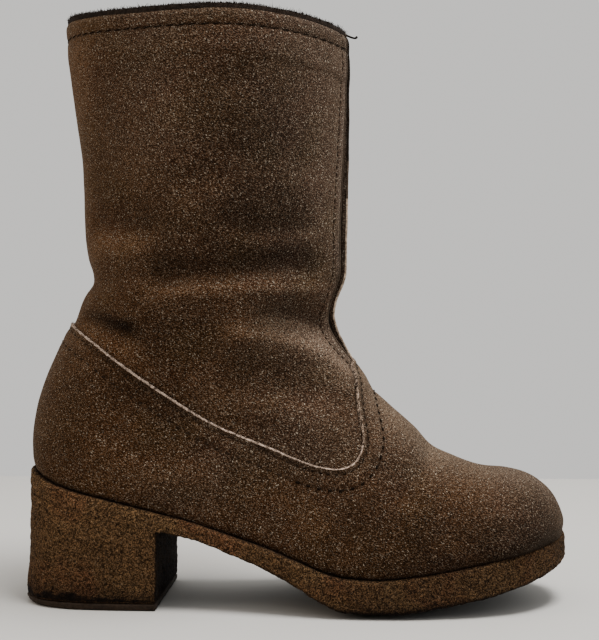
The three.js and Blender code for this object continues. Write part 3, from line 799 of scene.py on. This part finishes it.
# painted highlight on the instep ridge, beside the front seam, along the collar top and on raised folds
worn = .55 * np.exp(-(dist_line(P[..., 0], P[..., 2], [(118, 127), (141, 119), (152, 110)]) / 8) ** 2) \
    + .30 * np.exp(-(np.abs(np.abs(q) - half - 1.5) / 2.5) ** 2) * in_seam + .18 * smooth01((cz * -1 + 6) / 6) + .10 * smooth01((d + .2) / 2)
# painted shade: under the lap edge, in the seam groove and beyond the inner cut edge, along the collar stitch dent and
# back seam, and in deep fold hollows
shade = np.clip(.60 * np.exp(-((lap - .2) / .9) ** 2) + .85 * groove * in_seam + .55 * np.exp(-((cz - 8.0) / .7) ** 2) + .35 * np.exp(-(back[None, :] / .8) ** 2) + .25 * smooth01(-(d + .6) / 1.6) * (cz > 30) * (lap > 14)
                + .80 * smooth01((q - half - .35) / .5) * smooth01((half + 7.0 - q) / 3.0) * in_seam, 0, 1)
def patch(P, x, z, rx, rz):
    return np.exp(-((P[..., 0] - x) / rx) ** 2 - ((P[..., 2] - z) / rz) ** 2)


def painted_shading_of(P, N0, N, A):
    # painted light and shade: faces turned up, also on the folds, are painted paler, hollows and faces turned down
    # darker; the patches are broad painted light and shade
    t = 1 + .20 * np.clip(N0[..., 2], -1, 1)
    slope = N[..., 2] - N0[..., 2]
    t *= np.clip(1 + np.where(slope > 0, 2.3, 1.28) * slope, .52, 1.85) * (1 + .05 * np.clip(fold_height(P, A), -2, 2))
    t += -.28 * patch(P, 108, 210, 22, 38) + .16 * patch(P, 66, 214, 9, 22) - .12 * patch(P, 40, 190, 10, 12)
    t += .06 * patch(P, 150, 84, 12, 14) + .14 * patch(P, 46, 172, 14, 8) + .26 * patch(P, 62, 232, 26, 24) + .10 * patch(P, 118, 146, 26, 4)
    t += -.36 * patch(P, 60, 126, 30, 14) + .42 * patch(P, 104, 136, 17, 6) + .26 * patch(P, 138, 140, 8, 30) - .16 * patch(P, 107, 92, 30, 14) + .14 * patch(P, 122, 116, 14, 7)
    t += .14 * patch(P, 68, 230, 16, 20) - .18 * patch(P, 103, 184, 16, 22) + .26 * patch(P, 99, 157.4, 9, 4) + .26 * patch(P, 112, 146.4, 14, 4)
    t += -.22 * patch(P, 62, 141, 16, 7) - .20 * patch(P, 46, 125, 12, 7) + .30 * patch(P, 146, 102, 11, 6) - .25 * patch(P, 28, 262, 7, 7)
    return t


NF = normals(P + N * fold_height(P, A)[..., None])
tone = painted_shading_of(P, N, NF, A)
# painted light: paler along the front seam on the outer side, at the back of the shaft and on the collar band
near = smooth01((P[..., 0] - 124) / 20) * (A < 0) * smooth01((P[..., 2] - 150) / 30)
tone += (.50 * near * smooth01((258 - P[..., 2]) / 30)) + .25 * smooth01((40 - P[..., 0]) / 14) * smooth01((P[..., 2] - 140) / 20)
tone += .16 * smooth01((14 - np.abs(cz - 13)) / 6)
# painted warm and cool light: warmer toward the back, cooler toward the front
low_w, top_w = smooth01((158 - P[..., 2]) / 22), smooth01((P[..., 2] - 188) / 24)
w_x = [33, 46, 59, 72, 85, 98, 112, 125, 138]
warm = np.interp(P[..., 0], w_x, [.88, .72, .58, .50, .52, .44, .28, .14, .02]) * (1 - low_w) * (1 - top_w) \
    + np.interp(P[..., 0], w_x, [1, .92, .82, .72, .62, .60, .44, .34, .24]) * low_w + np.interp(P[..., 0], w_x, [.80, .50, .38, .32, .36, .42, .26, .11, .0]) * top_w
keep = (lap[:-1, :-1] > -7) & (lap[1:, 1:] > -7)
V, F, at = compact(Q.reshape(-1, 3), grid_faces(*P.shape[:2], keep), {"worn": worn, "shade": shade, "tone": tone, "warm": warm})
shaft = add(mesh_object("shaft", V, F, at, mats=[m_suede]), "suede", "upper")
SH = dict(P=P, Q=Q, N=NQ, A=A, U=U, lap=lap, cz=cz, q=q, half=half, us=us)

# cut edges of the front seam and the near-black strip of painted shadow in its gap
for side, nm in ((-1, "outer"), (1, "inner")):
    i0 = int(np.searchsorted(us, 13.9))
    C, Nn = [], []
    for i in range(i0, len(us)):
        target = side * (half[i, 0] if half.ndim > 1 else half[i])
        h = half[i, 0]
        a = side * (h + .25)
        j = np.interp(a, q[i], np.arange(P.shape[1]))
        j0 = int(j); f = j - j0
        base = P[i, j0] * (1 - f) + P[i, j0 + 1] * f
        nn = NQ[i, j0] * (1 - f) + NQ[i, j0 + 1] * f
        n0 = N[i, j0] * (1 - f) + N[i, j0 + 1] * f
        hh = d[i, max(0, j0 + (3 if side > 0 else -3))]
        C.append(base + n0 * (hh + .05)); Nn.append(n0)
    C, Nn = resample(np.array(C), np.array(Nn), .6, 3)
    if side > 0:
        # a narrow rolled edge: a brighter copy of the cut edge colour up to the collar facing (painted light), darker
        # copies above it (painted shade)
        roll = [(-.34, -.05), (-.26, .36), (.02, .56), (.30, .42), (.46, .0), (.38, -.40)]
        k, k2 = int(np.argmax(C[:, 2] > 186)), int(np.argmax(C[:, 2] > 204))
        for part, c0, c1, mt in (("", 0, k + 1, m_edge_lit), ("_mid", k, k2 + 1, m_edge_shaded), ("_top", k2, len(C), m_edge_deep_shade)):
            V, F = ribbon(C[c0:c1], Nn[c0:c1], 1, roll, .09, 21)
            add(mesh_object("front_cut_edge_" + nm + part, V, F, mats=[mt]), "suede")
    else:
        # the outer cut edge takes the darker copy: painted shade
        V, F = ribbon(C, Nn, -1, [(-.45, .10), (-.15, .26), (.20, .20), (.46, -.20), (.5, -.6)], .09, 21)
        add(mesh_object("front_cut_edge_" + nm, V, F, mats=[m_edge_shaded]), "suede")
    off = 5.0
    C2 = []
    for i in range(i0 + 2, len(us)):
        a = side * (half[i, 0] + off)
        j = np.interp(a, q[i], np.arange(P.shape[1])); j0 = int(j); f = j - j0
        C2.append(np.concatenate([Q[i, j0] * (1 - f) + Q[i, j0 + 1] * f, NQ[i, j0] * (1 - f) + NQ[i, j0 + 1] * f]))
    C2 = np.array(C2)
    R, M = resample(C2[:, :3], C2[:, 3:], .7, 3)
    V, F = stitches(R, M, 3.1, 2.3, .27, .45, 0, .05, 31)
    add(mesh_object("front_stitches_" + nm, V, F, mats=[m_thread_mid]), "suede")

# near-black strip along the seam gap: painted shadow
i0 = int(np.searchsorted(us, 13.9))
C, Nn = [], []
for i in range(i0, len(us)):
    j = np.interp(0, q[i], np.arange(P.shape[1])); j0 = int(j); f = j - j0
    C.append(P[i, j0] * (1 - f) + P[i, j0 + 1] * f + N[i, j0] * (d[i, j0] + .25)); Nn.append(N[i, j0])
R, M = resample(np.array(C), np.array(Nn), .7, 3)
V, F = ribbon(R, M, 1, [(-4.8, -.7), (-3.6, -.3), (-2.0, .10), (-.9, .22), (0, .26), (.9, .22), (2.0, .10), (3.6, -.3), (4.8, -.7)], .05, 51)
add(mesh_object("front_gap_shadow", V, F, mats=[m_gap_shadow]), "suede")

# collar stitch row
ch = iso_lines(Q, NQ, -cz, -8.0)[0]
R, M = resample(ch[0], ch[1], .8, 2)
V, F = stitches(R, M, 5.2, 4.9, .27, .55, .20, .10, 41)
add(mesh_object("collar_stitches", V, F, mats=[m_thread]), "suede")

# ---------------------------------------------------------------- lining, rim and pile at the collar
ul = np.concatenate([np.linspace(.5, 12, 34), np.linspace(12.4, LAST, 60)])
PL, AL = ring_grid(ul, fine_then_even(12, 5, 40), fine_then_even(12, 5, 40))
NL = normals(PL)
dl = -2.15 + .5 * fold_height(PL, AL)
top = np.interp(ul, [LAST - .6, LAST], [0, 1])[:, None]
QL = PL + NL * dl[..., None]
QL[-1] = PL[-1] - NL[-1] * 1.55
back_lift = .95 * smooth01((38 - PL[-1][:, 0]) / 20)
QL[-1, :, 2] += .6 + back_lift
row = PL[-1] - NL[-1] * .95; row[:, 2] += .95 + back_lift
row2 = PL[-1] - NL[-1] * .40; row2[:, 2] += .45 + back_lift
row3 = PL[-1] - NL[-1] * .55; row3[:, 2] += -1.8 + back_lift
QL = np.concatenate([QL, row[None], row2[None], row3[None]], 0)
fl = QL[..., 2] > feather_z(QL[..., 0]) + .3
keep = fl[:-1, :-1] | fl[1:, 1:]
F = grid_faces(*QL.shape[:2], keep)[:, ::-1]
V, F, at = compact(QL.reshape(-1, 3), F, {})
add(mesh_object("lining", V, F, mats=[m_lining]), "suede")

rng = np.random.default_rng(7)
rim = row.copy()
Rr, _ = resample(rim, NL[-1], .2)
T_ = tangents(Rr)
out = np.cross(T_, np.array([0, 0, 1.0])); out /= np.linalg.norm(out, axis=1, keepdims=True)
if (out * (Rr - Rr.mean(0))).sum() < 0:
    out = -out
k = rng.integers(0, len(Rr), 7600)
pts = Rr[k] + out[k] * rng.uniform(-.7, .50, len(k))[:, None] + np.stack([np.zeros(len(k)), np.zeros(len(k)), rng.uniform(-1.1, .05, len(k))], 1)
dirs = np.stack([np.zeros(len(k)), np.zeros(len(k)), np.ones(len(k))], 1) + out[k] * rng.normal(.25, .5, len(k))[:, None] + T_[k] * rng.normal(0, .45, len(k))[:, None]
V, F = fibres(pts, dirs, rng.gamma(2.2, .27, len(k)) + .18, rng.uniform(.07, .16, len(k)))
add(mesh_object("collar_pile", V, F, mats=[m_fibre]), "suede")

# thread end at the front of the collar
tail = spline([(148.4, -2.0, 264.2), (150.3, -2.3, 263.4), (152.0, -2.8, 262.5), (153.6, -3.1, 261.9), (154.7, -2.8, 262.0), (155.1, -2.2, 262.9)], 5)
ang = np.linspace(0, 2 * math.pi, 6, endpoint=False)
Tt = tangents(tail); s1 = np.cross(Tt, [0, 1, 0.01]); s1 /= np.linalg.norm(s1, axis=1, keepdims=True); s2 = np.cross(Tt, s1)
rad = np.interp(np.arange(len(tail)), [0, len(tail) - 6, len(tail) - 3, len(tail) - 1], [.52, .46, .66, .30])
V = (tail[:, None] + rad[:, None, None] * (np.cos(ang)[None, :, None] * s1[:, None] + np.sin(ang)[None, :, None] * s2[:, None])).reshape(-1, 3)
add(mesh_object("thread_end", V, grid_faces(len(tail), 6, closed=True), mats=[m_thread]), "suede")

# ---------------------------------------------------------------- vamp and counter, lapped over the shaft
uv = rows_by_pitch(.12, 24.9, 1.02)
uv = np.concatenate([[.03, .07], uv])
PV, AV = ring_grid(uv, fine_then_even(8, 6, 100), fine_then_even(8, 6, 100))
NV = normals(PV)
lapv = lap_field(PV)
dv = fold_height(PV, AV)
fe = PV[..., 2] - feather_z(PV[..., 0])
dv += .25 * np.exp(-(lapv / 3.0) ** 2)                       # the lap stands a little proud
dv -= .30 * np.exp(-((lapv + 1.9) / .7) ** 2)                # first stitch row
dv -= .40 * np.exp(-((lapv + 8.6) / .9) ** 2) * (.35 + .65 * smooth01((PV[..., 0] - 40) / 60))                # second stitch row
dv += .22 * np.exp(-((lapv + 5.2) / 1.8) ** 2)
toe_end = smooth01((PV[..., 0] - 225) / 20)
dv -= (.80 + .25 * toe_end) * np.exp(-(np.maximum(fe, 0) / (1.1 + 2.6 * toe_end)) ** 2)           # pulled in at the feather edge
dv += .30 * np.exp(-((fe - 5.0) / 3.0) ** 2) * (1 - toe_end)
dv -= .45 * toe_end * smooth01((22 - fe) / 14)
QV = PV + NV * dv[..., None]
cen = lambda S: (S[:-1, :-1] + S[1:, :-1] + S[:-1, 1:] + S[1:, 1:]) / 4
low = fe + .9
keep = (cen(lapv) < 0) & (cen(low) > 0)
keep_lap = cen(lapv) < 0
QV2 = snap(QV, -lapv, keep_lap)
NV2 = normals(QV)
X, Z = PV[..., 0], PV[..., 2]
ridge = np.exp(-(AV / 26.0) ** 2)
# painted highlight along the instep, on the toe top, at the lap edge and on the counter
painted_highlight_vamp = .95 * np.exp(-(dist_line(X, Z, [(156, 106), (170, 90), (186, 76)]) / 13) ** 2) * np.exp(-(AV / 42.0) ** 2) \
    + .66 * np.exp(-(dist_line(X, Z, [(196, 68), (222, 60), (238, 52)]) / 10) ** 2) * np.exp(-(AV / 30.0) ** 2) \
    + .16 * np.exp(-(lapv / 2.5) ** 2) + .25 * np.exp(-(np.hypot(X - 6, Z - 84) / 20) ** 2) + .12 * np.exp(-(dist_line(X, Z, [(44, 58), (92, 50)]) / 8) ** 2)
# painted shade along the lap edge, in the second stitch row and at the feather line
shadev = np.clip(.62 * np.exp(-((lapv + 1.5) / .7) ** 2) + (.08 + .30 * smooth01((X - 116) / 20)) * np.exp(-((lapv + 8.6) / .75) ** 2) + .97 * np.exp(-(np.maximum(fe, 0) / .85) ** 2), 0, 1)
painted_shading_vamp = painted_shading_of(PV, NV, normals(PV + NV * fold_height(PV, AV)[..., None]), AV)
# painted shade on the lower vamp side, with broad painted light and shade patches
painted_shading_vamp += -.09 - .34 * smooth01((44 - Z + .10 * (X - 130)) / 30) * smooth01((X - 90) / 60) + .26 * patch(PV, 62, 60, 28, 8) - .34 * patch(PV, 163, 45, 31, 12) - .28 * patch(PV, 45, 115, 12, 9) - .24 * patch(PV, 60, 102, 12, 7) - .14 * patch(PV, 33, 69, 10, 8) - .16 * patch(PV, 88, 69, 13, 8) + .16 * patch(PV, 59, 91, 10, 8) - .12 * patch(PV, 14, 84, 14, 26) - .10 * smooth01((100 - X) / 30)
# painted warm and cool light on the vamp: warmer toward the back and low on the side
painted_light_warmth_vamp = np.clip(.44 + .44 * smooth01((100 - X) / 60) + .34 * smooth01((68 - Z) / 22) * smooth01((X - 70) / 30) * (1 - smooth01((X - 196) / 30)) - .14 * smooth01((X - 200) / 30), 0, 1)
# painted shade low on the front of the vamp and at the toe end
painted_shading_vamp -= .24 * smooth01((X - 150) / 40) * smooth01((60 - Z) / 12) * (1 - .7 * np.exp(-(AV / 26.0) ** 2)) + .10 * smooth01((X - 224) / 14)
V, F, at = compact(QV2.reshape(-1, 3), grid_faces(*PV.shape[:2], keep), {"worn": np.clip(painted_highlight_vamp, 0, 1), "shade": shadev, "tone": painted_shading_vamp, "warm": painted_light_warmth_vamp})
vamp = add(mesh_object("vamp", V, F, at, mats=[m_vamp]), "suede")

chains = iso_lines(QV, NV2, lapv, 0.0)
ch = chains[0]
R, M = resample(ch[0], ch[1], .55, 2)
mid = len(R) // 2
B = np.cross(M, tangents(R))
up = lap_field(R + B * 1.0) > lap_field(R - B * 1.0)
side = 1 if up.mean() > .5 else -1
front = (R[:, 0] > 128) & (R[:, 2] > 73)
f0 = int(np.argmax(front)); f1 = len(R) - int(np.argmax(front[::-1]))
wide = [(-.10, .0), (.02, .12), (.20, .06), (.46, -.34), (.60, -.75), (.70, -1.25)]
slim = [(-.06, -.02), (.02, .06), (.14, .02), (.30, -.30), (.42, -.75), (.50, -1.25)]
for part, c0, c1, prof, mt in (("_a", 0, f0 + 1, wide, m_edge), ("_front", f0, f1, slim, m_edge_bead), ("_b", f1 - 1, len(R), wide, m_edge)):
    if c1 - c0 > 8:
        V, F = ribbon(R[c0:c1], M[c0:c1], side, prof, .26, 61)
        add(mesh_object("lap_cut_edge" + part, V, F, mats=[mt]), "suede")
k = rng.integers(2, len(R) - 2, 2600)
pts = R[k] + side * B[k] * rng.uniform(-.1, .9, len(k))[:, None] + M[k] * rng.uniform(-.5, .1, len(k))[:, None]
dirs = side * B[k] * rng.uniform(.3, 1.0, len(k))[:, None] + M[k] * rng.uniform(.1, .9, len(k))[:, None] + tangents(R)[k] * rng.normal(0, .5, len(k))[:, None]
V, F = fibres(pts, dirs, rng.gamma(3.0, .10, len(k)) + .12, rng.uniform(.035, .07, len(k)), 15)
add(mesh_object("lap_edge_fuzz", V, F, mats=[m_edge]), "suede")

for level, nm, pitch, ln, rd in ((-1.9, "lap_stitches_1", 3.6, 2.4, .26), (-8.6, "lap_stitches_2", 5.0, 2.7, .47)):
    ch = iso_lines(QV, NV2, lapv, level)[0]
    R, M = resample(ch[0], ch[1], .7, 2)
    strong = (R[:, 0] > 126) & (R[:, 1] < 20)
    i = int(np.argmax(strong)); j = len(R) - int(np.argmax(strong[::-1]))
    for part, (k0, k1), mt, rr in (("tongue", (i, j), m_thread, rd), ("outer", (0, i) if R[:i, 1].mean() < 0 else (j, len(R)), m_thread_mid, rd * .72),
                                   ("inner", (0, i) if R[:i, 1].mean() >= 0 else (j, len(R)), m_thread_mid, rd * .72)):
        if k1 - k0 > 12:
            V, F = stitches(R[k0:k1], M[k0:k1], pitch, ln, rr, .60, .10, .06, 71)
            add(mesh_object(nm + "_" + part, V, F, mats=[mt]), "suede")

# ---------------------------------------------------------------- crepe sole and heel
def outline(x0, x1, pitch):
    """closed plan outline between x0 and x1 of the sole, from the toe round the outer side to the heel and back"""
    t = np.linspace(0, math.pi, 900)
    x = x0 + (x1 - x0) * (1 - np.cos(t)) / 2
    lat = np.stack([x, -plan_l(x)], 1); med = np.stack([x, plan_m(x)], 1)
    loop = np.vstack([lat[::-1], med[1:]])
    S = np.concatenate([[0], np.cumsum(np.linalg.norm(np.diff(loop, axis=0), axis=1))])
    n = int(S[-1] / pitch)
    q = np.linspace(0, S[-1], n + 1)
    return np.stack([np.interp(q, S, loop[:, 0]), np.interp(q, S, loop[:, 1])], 1)


def crepe_noise(P, amp=1.0):
    n = .12 * vnoise(P, 7.0, 81) + .26 * vnoise(P, 2.6, 82) + .26 * vnoise(P, 1.5, 83)
    return amp * (n - .30)


O = outline(BACK_X, 252.2, .62)
# outward normals of the plan outline, smoothed a little
Tn = np.gradient(O, axis=0); Tn /= np.maximum(np.linalg.norm(Tn, axis=1, keepdims=True), 1e-9)
On = np.stack([Tn[:, 1], -Tn[:, 0]], 1)
ctr = np.stack([np.clip(O[:, 0], 24, 214), (plan_m(np.clip(O[:, 0], 24, 214)) - plan_l(np.clip(O[:, 0], 24, 214))) / 2], 1)
if ((O - ctr) * On).sum() < 0:
    On = -On
for _ in range(3):
    On = (np.roll(On, 1, 0) + On + np.roll(On, -1, 0)) / 3
On /= np.linalg.norm(On, axis=1, keepdims=True)
zt = feather_z(O[:, 0]) - .1
# the outer edge of the tread is rolled up a little at the ball
roll_up = np.interp(O[:, 0], [116, 126, 136, 146, 160, 180, 192, 204, 214, 226], [0, .6, 1.2, 2.1, 1.9, 1.9, 1.4, .8, .3, 0]) * smooth01((4 - O[:, 1]) / 24)
zb = under_z(O[:, 0]) + roll_up
th = zt - zb
wavy = vnoise(np.stack([O[:, 0], O[:, 1], zt], 1), 14, 91) * .25


def wall_rings(prof):
    """prof: [(out, share of the height, mm up)]"""
    rings = []
    for o, s, h in prof:
        z = zt + (zb - zt) * s + h
        rings.append(np.stack([O[:, 0] + On[:, 0] * o, O[:, 1] + On[:, 1] * o, z], 1))
    return rings


er = np.where(O[:, 0] < HEEL_X + 1.5, .05, 1.0)
rings = wall_rings([(-6.0, 0, -.4), (-4.4, 0, -.2), (-3.2, 0, .0), (-2.3, 0, .1), (-1.5, 0, .0), (-.85, 0, -.3), (-.4, 0, -.75), (-.1, 0, -1.3)])
nw = 20
for s in np.linspace(.0, .84, nw)[1:]:
    rings.append(np.stack([O[:, 0] + On[:, 0] * (.12 * math.sin(math.pi * s)), O[:, 1] + On[:, 1] * (.12 * math.sin(math.pi * s)), zt - 1.3 - (th - 1.3) * s], 1))
rim_rows, wall_end = 8, len(rings)
for ang_ in np.linspace(15, 90, 6):
    a = math.radians(ang_); rr = 2.4 * er
    rings.append(np.stack([O[:, 0] - On[:, 0] * rr * (1 - math.cos(a)), O[:, 1] - On[:, 1] * rr * (1 - math.cos(a)), zb + rr * (1 - math.sin(a)) * .9], 1))
last = rings[-1].copy()
for t in np.linspace(.04, 1, 16) ** 1.0:
    xy = last[:, :2] * (1 - t) + ctr * t
    rings.append(np.stack([xy[:, 0], xy[:, 1], under_z(xy[:, 0]) + roll_up * (1 - t) ** 3], 1))
G = np.stack(rings, 0)
GN = normals(G)
# outward check at the wall
if (GN[16, :, :2] * On).sum() < 0:
    GN = -GN
amp = np.interp(np.arange(len(rings)), [0, 3, 9, wall_end - 3, wall_end + 4, len(rings)], [0.05, .35, 1, 1, .8, .5])[:, None]
dn = crepe_noise(G) * amp
flat = (np.arange(len(rings))[:, None] > wall_end)
dn = np.where(flat, np.minimum(dn, 0.0), dn)
G2 = G + GN * dn[..., None]
G2[..., 2] = np.maximum(G2[..., 2], 0.02)
# painted shade in the join under the upper and on the rounded lower edge and underside; also darker toward the bottom
# and toward the toe
shade_s = np.clip(.95 * np.exp(-((np.arange(len(rings)) - 2)[:, None] / 2.2) ** 2) + .70 * smooth01((np.arange(len(rings)) - wall_end + 2)[:, None] / 5) + .35 * smooth01((10 - G[..., 2]) / 9)
                  + .26 * smooth01((G[..., 0] - 120) / 60) + .06 + 0 * dn, 0, .95)
F = grid_faces(*G2.shape[:2])
sole = mesh_object("crepe_sole", G2, F, {"shade": shade_s}, mats=[m_crepe])
add(sole, "crepe", "sole")

# heel block: wall from the sole's underside to the top-piece, and the breast
HO = O[O[:, 0] < HEEL_X - .9]
HOn = On[O[:, 0] < HEEL_X - .9]
# close the loop with the breast, corners rounded
y_l, y_m = -plan_l(HEEL_X), plan_m(HEEL_X)
lat_first = HO[0, 1] < 0
front = []
for t in np.linspace(0, 1, 100):
    y = (y_l + (y_m - y_l) * t)
    front.append([HEEL_X, y])
front = np.array(front)
HO_ = np.vstack([front[::-1] if lat_first else front, HO[1:]])
# smooth the corners a little
for _ in range(2):
    HO_ = (np.roll(HO_, 1, 0) + 2 * HO_ + np.roll(HO_, -1, 0)) / 4
Th = np.roll(HO_, -1, 0) - np.roll(HO_, 1, 0); Th /= np.maximum(np.linalg.norm(Th, axis=1, keepdims=True), 1e-9)
Hn = np.stack([Th[:, 1], -Th[:, 0]], 1)
hc = np.array([36.0, 0.0])
if ((HO_ - hc) * Hn).sum() < 0:
    Hn = -Hn
def Hn_3(n, k):
    return np.stack([n[:, 0] * k, n[:, 1] * k, np.zeros(len(n))], 1)


ztop = under_z(HO_[:, 0]) + .6
z0 = TIP_T + .3
rings = []
back_w = np.clip((HEEL_X - HO_[:, 0]) / (HEEL_X - BACK_X), 0, 1) ** 2
NH = 74
for s in np.linspace(0, 1, NH):
    z = ztop + (z0 - ztop) * s
    out_x = np.interp(z, [z0, 5.0, 8.0, 21.0, 40.0], [FLARE - .4, FLARE - .1, FLARE, .3, 0])
    rings.append(np.stack([HO_[:, 0] - out_x * back_w, HO_[:, 1], z], 1) - Hn_3(Hn, .35 * smooth01((s - .95) / .05)))
for t, dz in ((.012, -.15), (.03, -.2), (.5, -.2), (1.0, -.2)):
    xy = rings[NH - 1][:, :2] * (1 - t) + hc * t
    rings.append(np.stack([xy[:, 0], xy[:, 1], np.full(len(xy), z0) + dz], 1))
H = np.stack(rings, 0)
Hc = np.concatenate([H, H[:, :1]], 1)
HN = normals(np.concatenate([Hc[:, -2:-1], Hc, Hc[:, 1:2]], 1))[:, 1:-1]
if (HN[30, :-1, :2] * Hn).sum() < 0:
    HN = -HN
ampH = np.interp(np.arange(len(rings)), [0, NH - 1, NH, NH + 3], [1, 1, .4, 0])[:, None]
Hq = Hc + HN * (crepe_noise(Hc) * ampH)[..., None]
Hq[:, -1] = Hq[:, 0]
# painted shade on the heel breast; darker toward the bottom, with an irregular dark band above the top-piece
shade_h = np.clip(.62 * smooth01((15 - Hc[..., 2]) / 12) + .80 * smooth01((6.4 + 3.0 * vnoise(Hc, 8, 95) + 1.6 * vnoise(Hc, 2.4, 97) - Hc[..., 2]) / .9) * smooth01((Hc[..., 2] - 3.6) / .8) + .9 * smooth01((Hc[..., 0] - (HEEL_X - 1.2)) / 1.0), 0, .97)
heel = mesh_object("crepe_heel", Hq, grid_faces(*Hq.shape[:2]), {"shade": shade_h}, mats=[m_crepe])
add(heel, "crepe", "heel")

# top-piece
# inset of the sides, inset of the back, height
prof = [(2.6, 2.6, 3.25), (1.0, 1.0, 3.25), (.55, .5, 3.1), (.30, .35, 2.8), (.25, .40, 2.2), (.30, .70, 1.6), (.40, 1.2, 1.0), (.60, 1.9, .5), (1.0, 2.8, .15), (1.8, 4.0, 0.0)]
rings = []
for side_in, back_in, z in prof:
    rings.append(np.stack([HO_[:, 0] - (FLARE - back_in) * back_w - Hn[:, 0] * side_in * (1 - back_w), HO_[:, 1] - Hn[:, 1] * side_in, np.full(len(HO_), z)], 1))
base_xy = rings[-1][:, :2]
for t in (.3, .7, 1.0):
    xy = base_xy * (1 - t) + hc * t
    rings.append(np.stack([xy[:, 0], xy[:, 1], np.zeros(len(xy))], 1))
Tp = np.stack(rings, 0)
Tp = np.concatenate([Tp, Tp[:, :1]], 1)
TN = normals(Tp)
if (TN[4, :-1, :2] * Hn).sum() < 0:
    TN = -TN
Tq = Tp + TN * (crepe_noise(Tp, .5) * np.interp(np.arange(len(rings)), [0, 2, 8, 9], [0, 1, .6, 0])[:, None])[..., None]
Tq[:, -1] = Tq[:, 0]
Tq[..., 2] = np.maximum(Tq[..., 2], 0.0)
tip = mesh_object("top_piece", Tq, grid_faces(*Tq.shape[:2]), mats=[m_tip])
add(tip, "top_piece", "heel_tip")

# insole keeps its CAD shape
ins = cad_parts["insole"]
ins.data.materials.clear()
ins.data.materials.append(m_board)

# ---------------------------------------------------------------- floor, light, camera
floor_me = bpy.data.meshes.new("floor")
floor_me.from_pydata([(-4, -4, 0), (4, -4, 0), (4, .425, 0), (-4, .425, 0)], [], [(0, 1, 2, 3)])
floor = bpy.data.objects.new("floor", floor_me)
bpy.context.scene.collection.objects.link(floor)
mf, nt, bs = new_mat("floor_pale")
v = coords(nt)
fn = noise(nt, v, 3.0, 3, .5)
nt.links.new(ramp(nt, fn, [(.3, (.56, .545, .515)), (.7, (.59, .575, .55))]), bs.inputs["Base Color"])
bs.inputs["Roughness"].default_value = .75
bs.inputs["Specular IOR Level"].default_value = .25
floor_me.materials.append(mf)

w = bpy.data.worlds.new("studio")
bpy.context.scene.world = w
w.use_nodes = True
wt = w.node_tree
bg = wt.nodes["Background"]
# a soft room: bright wall behind, dimmer toward the front, bright overhead
tc = wt.nodes.new("ShaderNodeTexCoord")
sp3 = wt.nodes.new("ShaderNodeSeparateXYZ")
wt.links.new(tc.outputs["Generated"], sp3.inputs[0])
side_c = ramp(wt, maths(wt, "MULTIPLY_ADD", sp3.outputs[0], .5, .5), [(.15, (.20, .165, .128)), (.85, (.15, .155, .165))], "EASE")
wall_f = ramp(wt, maths(wt, "MULTIPLY_ADD", sp3.outputs[1], .5, .5), [(.36, 0.0), (.72, 1.0)], "EASE")
room = mixc(wt, wall_f, side_c, (.80, .785, .76))
top_f = ramp(wt, maths(wt, "MULTIPLY_ADD", sp3.outputs[2], .5, .5), [(.70, 0.0), (.90, 1.0)], "EASE")
wt.links.new(mixc(wt, top_f, room, (.85, .84, .82)), bg.inputs[0])
bg.inputs[1].default_value = 1.0


def area(name, loc, target, size, power, col=(1, 1, 1)):
    l = bpy.data.lights.new(name, "AREA")
    l.shape = "RECTANGLE"; l.size, l.size_y = size
    l.energy = power; l.color = col
    o = bpy.data.objects.new(name, l)
    o.location = loc
    o.rotation_euler = (Vector(target) - Vector(loc)).to_track_quat("-Z", "Y").to_euler()
    bpy.context.scene.collection.objects.link(o)
    return o


area("key_top", (.30, -.16, 1.25), (.02, 0, .08), (.55, .40), 21.0, (1, .985, .965))
area("fill_left", (-.95, -.30, .55), (-.05, 0, .12), (.5, .6), 2.0, (1, .86, .70))
area("fill_right", (.95, -.55, .60), (.02, 0, .14), (.5, .6), 1.2, (.92, .97, 1))

cam_d = bpy.data.cameras.new("camera")
cam_d.sensor_fit = "HORIZONTAL"
cam_d.sensor_width = 36.0
cam_d.lens = 1061.0 / 599.0 * 36.0
cam = bpy.data.objects.new("camera", cam_d)
bpy.context.scene.collection.objects.link(cam)
cam.location = ((147.05 - CENTRE[0]) / 1000, (-500.0 - CENTRE[1]) / 1000, .120)
yaw = math.atan2(340.0 - 299.5, 1061.0); pitch = math.atan2(340.0 - 320.0, 1061.0)
fwd = Vector((-math.sin(yaw) * math.cos(pitch), math.cos(yaw) * math.cos(pitch), math.sin(pitch)))
cam.rotation_euler = fwd.to_track_quat("-Z", "Y").to_euler()
cam_d.clip_start = .01
bpy.context.scene.camera = cam
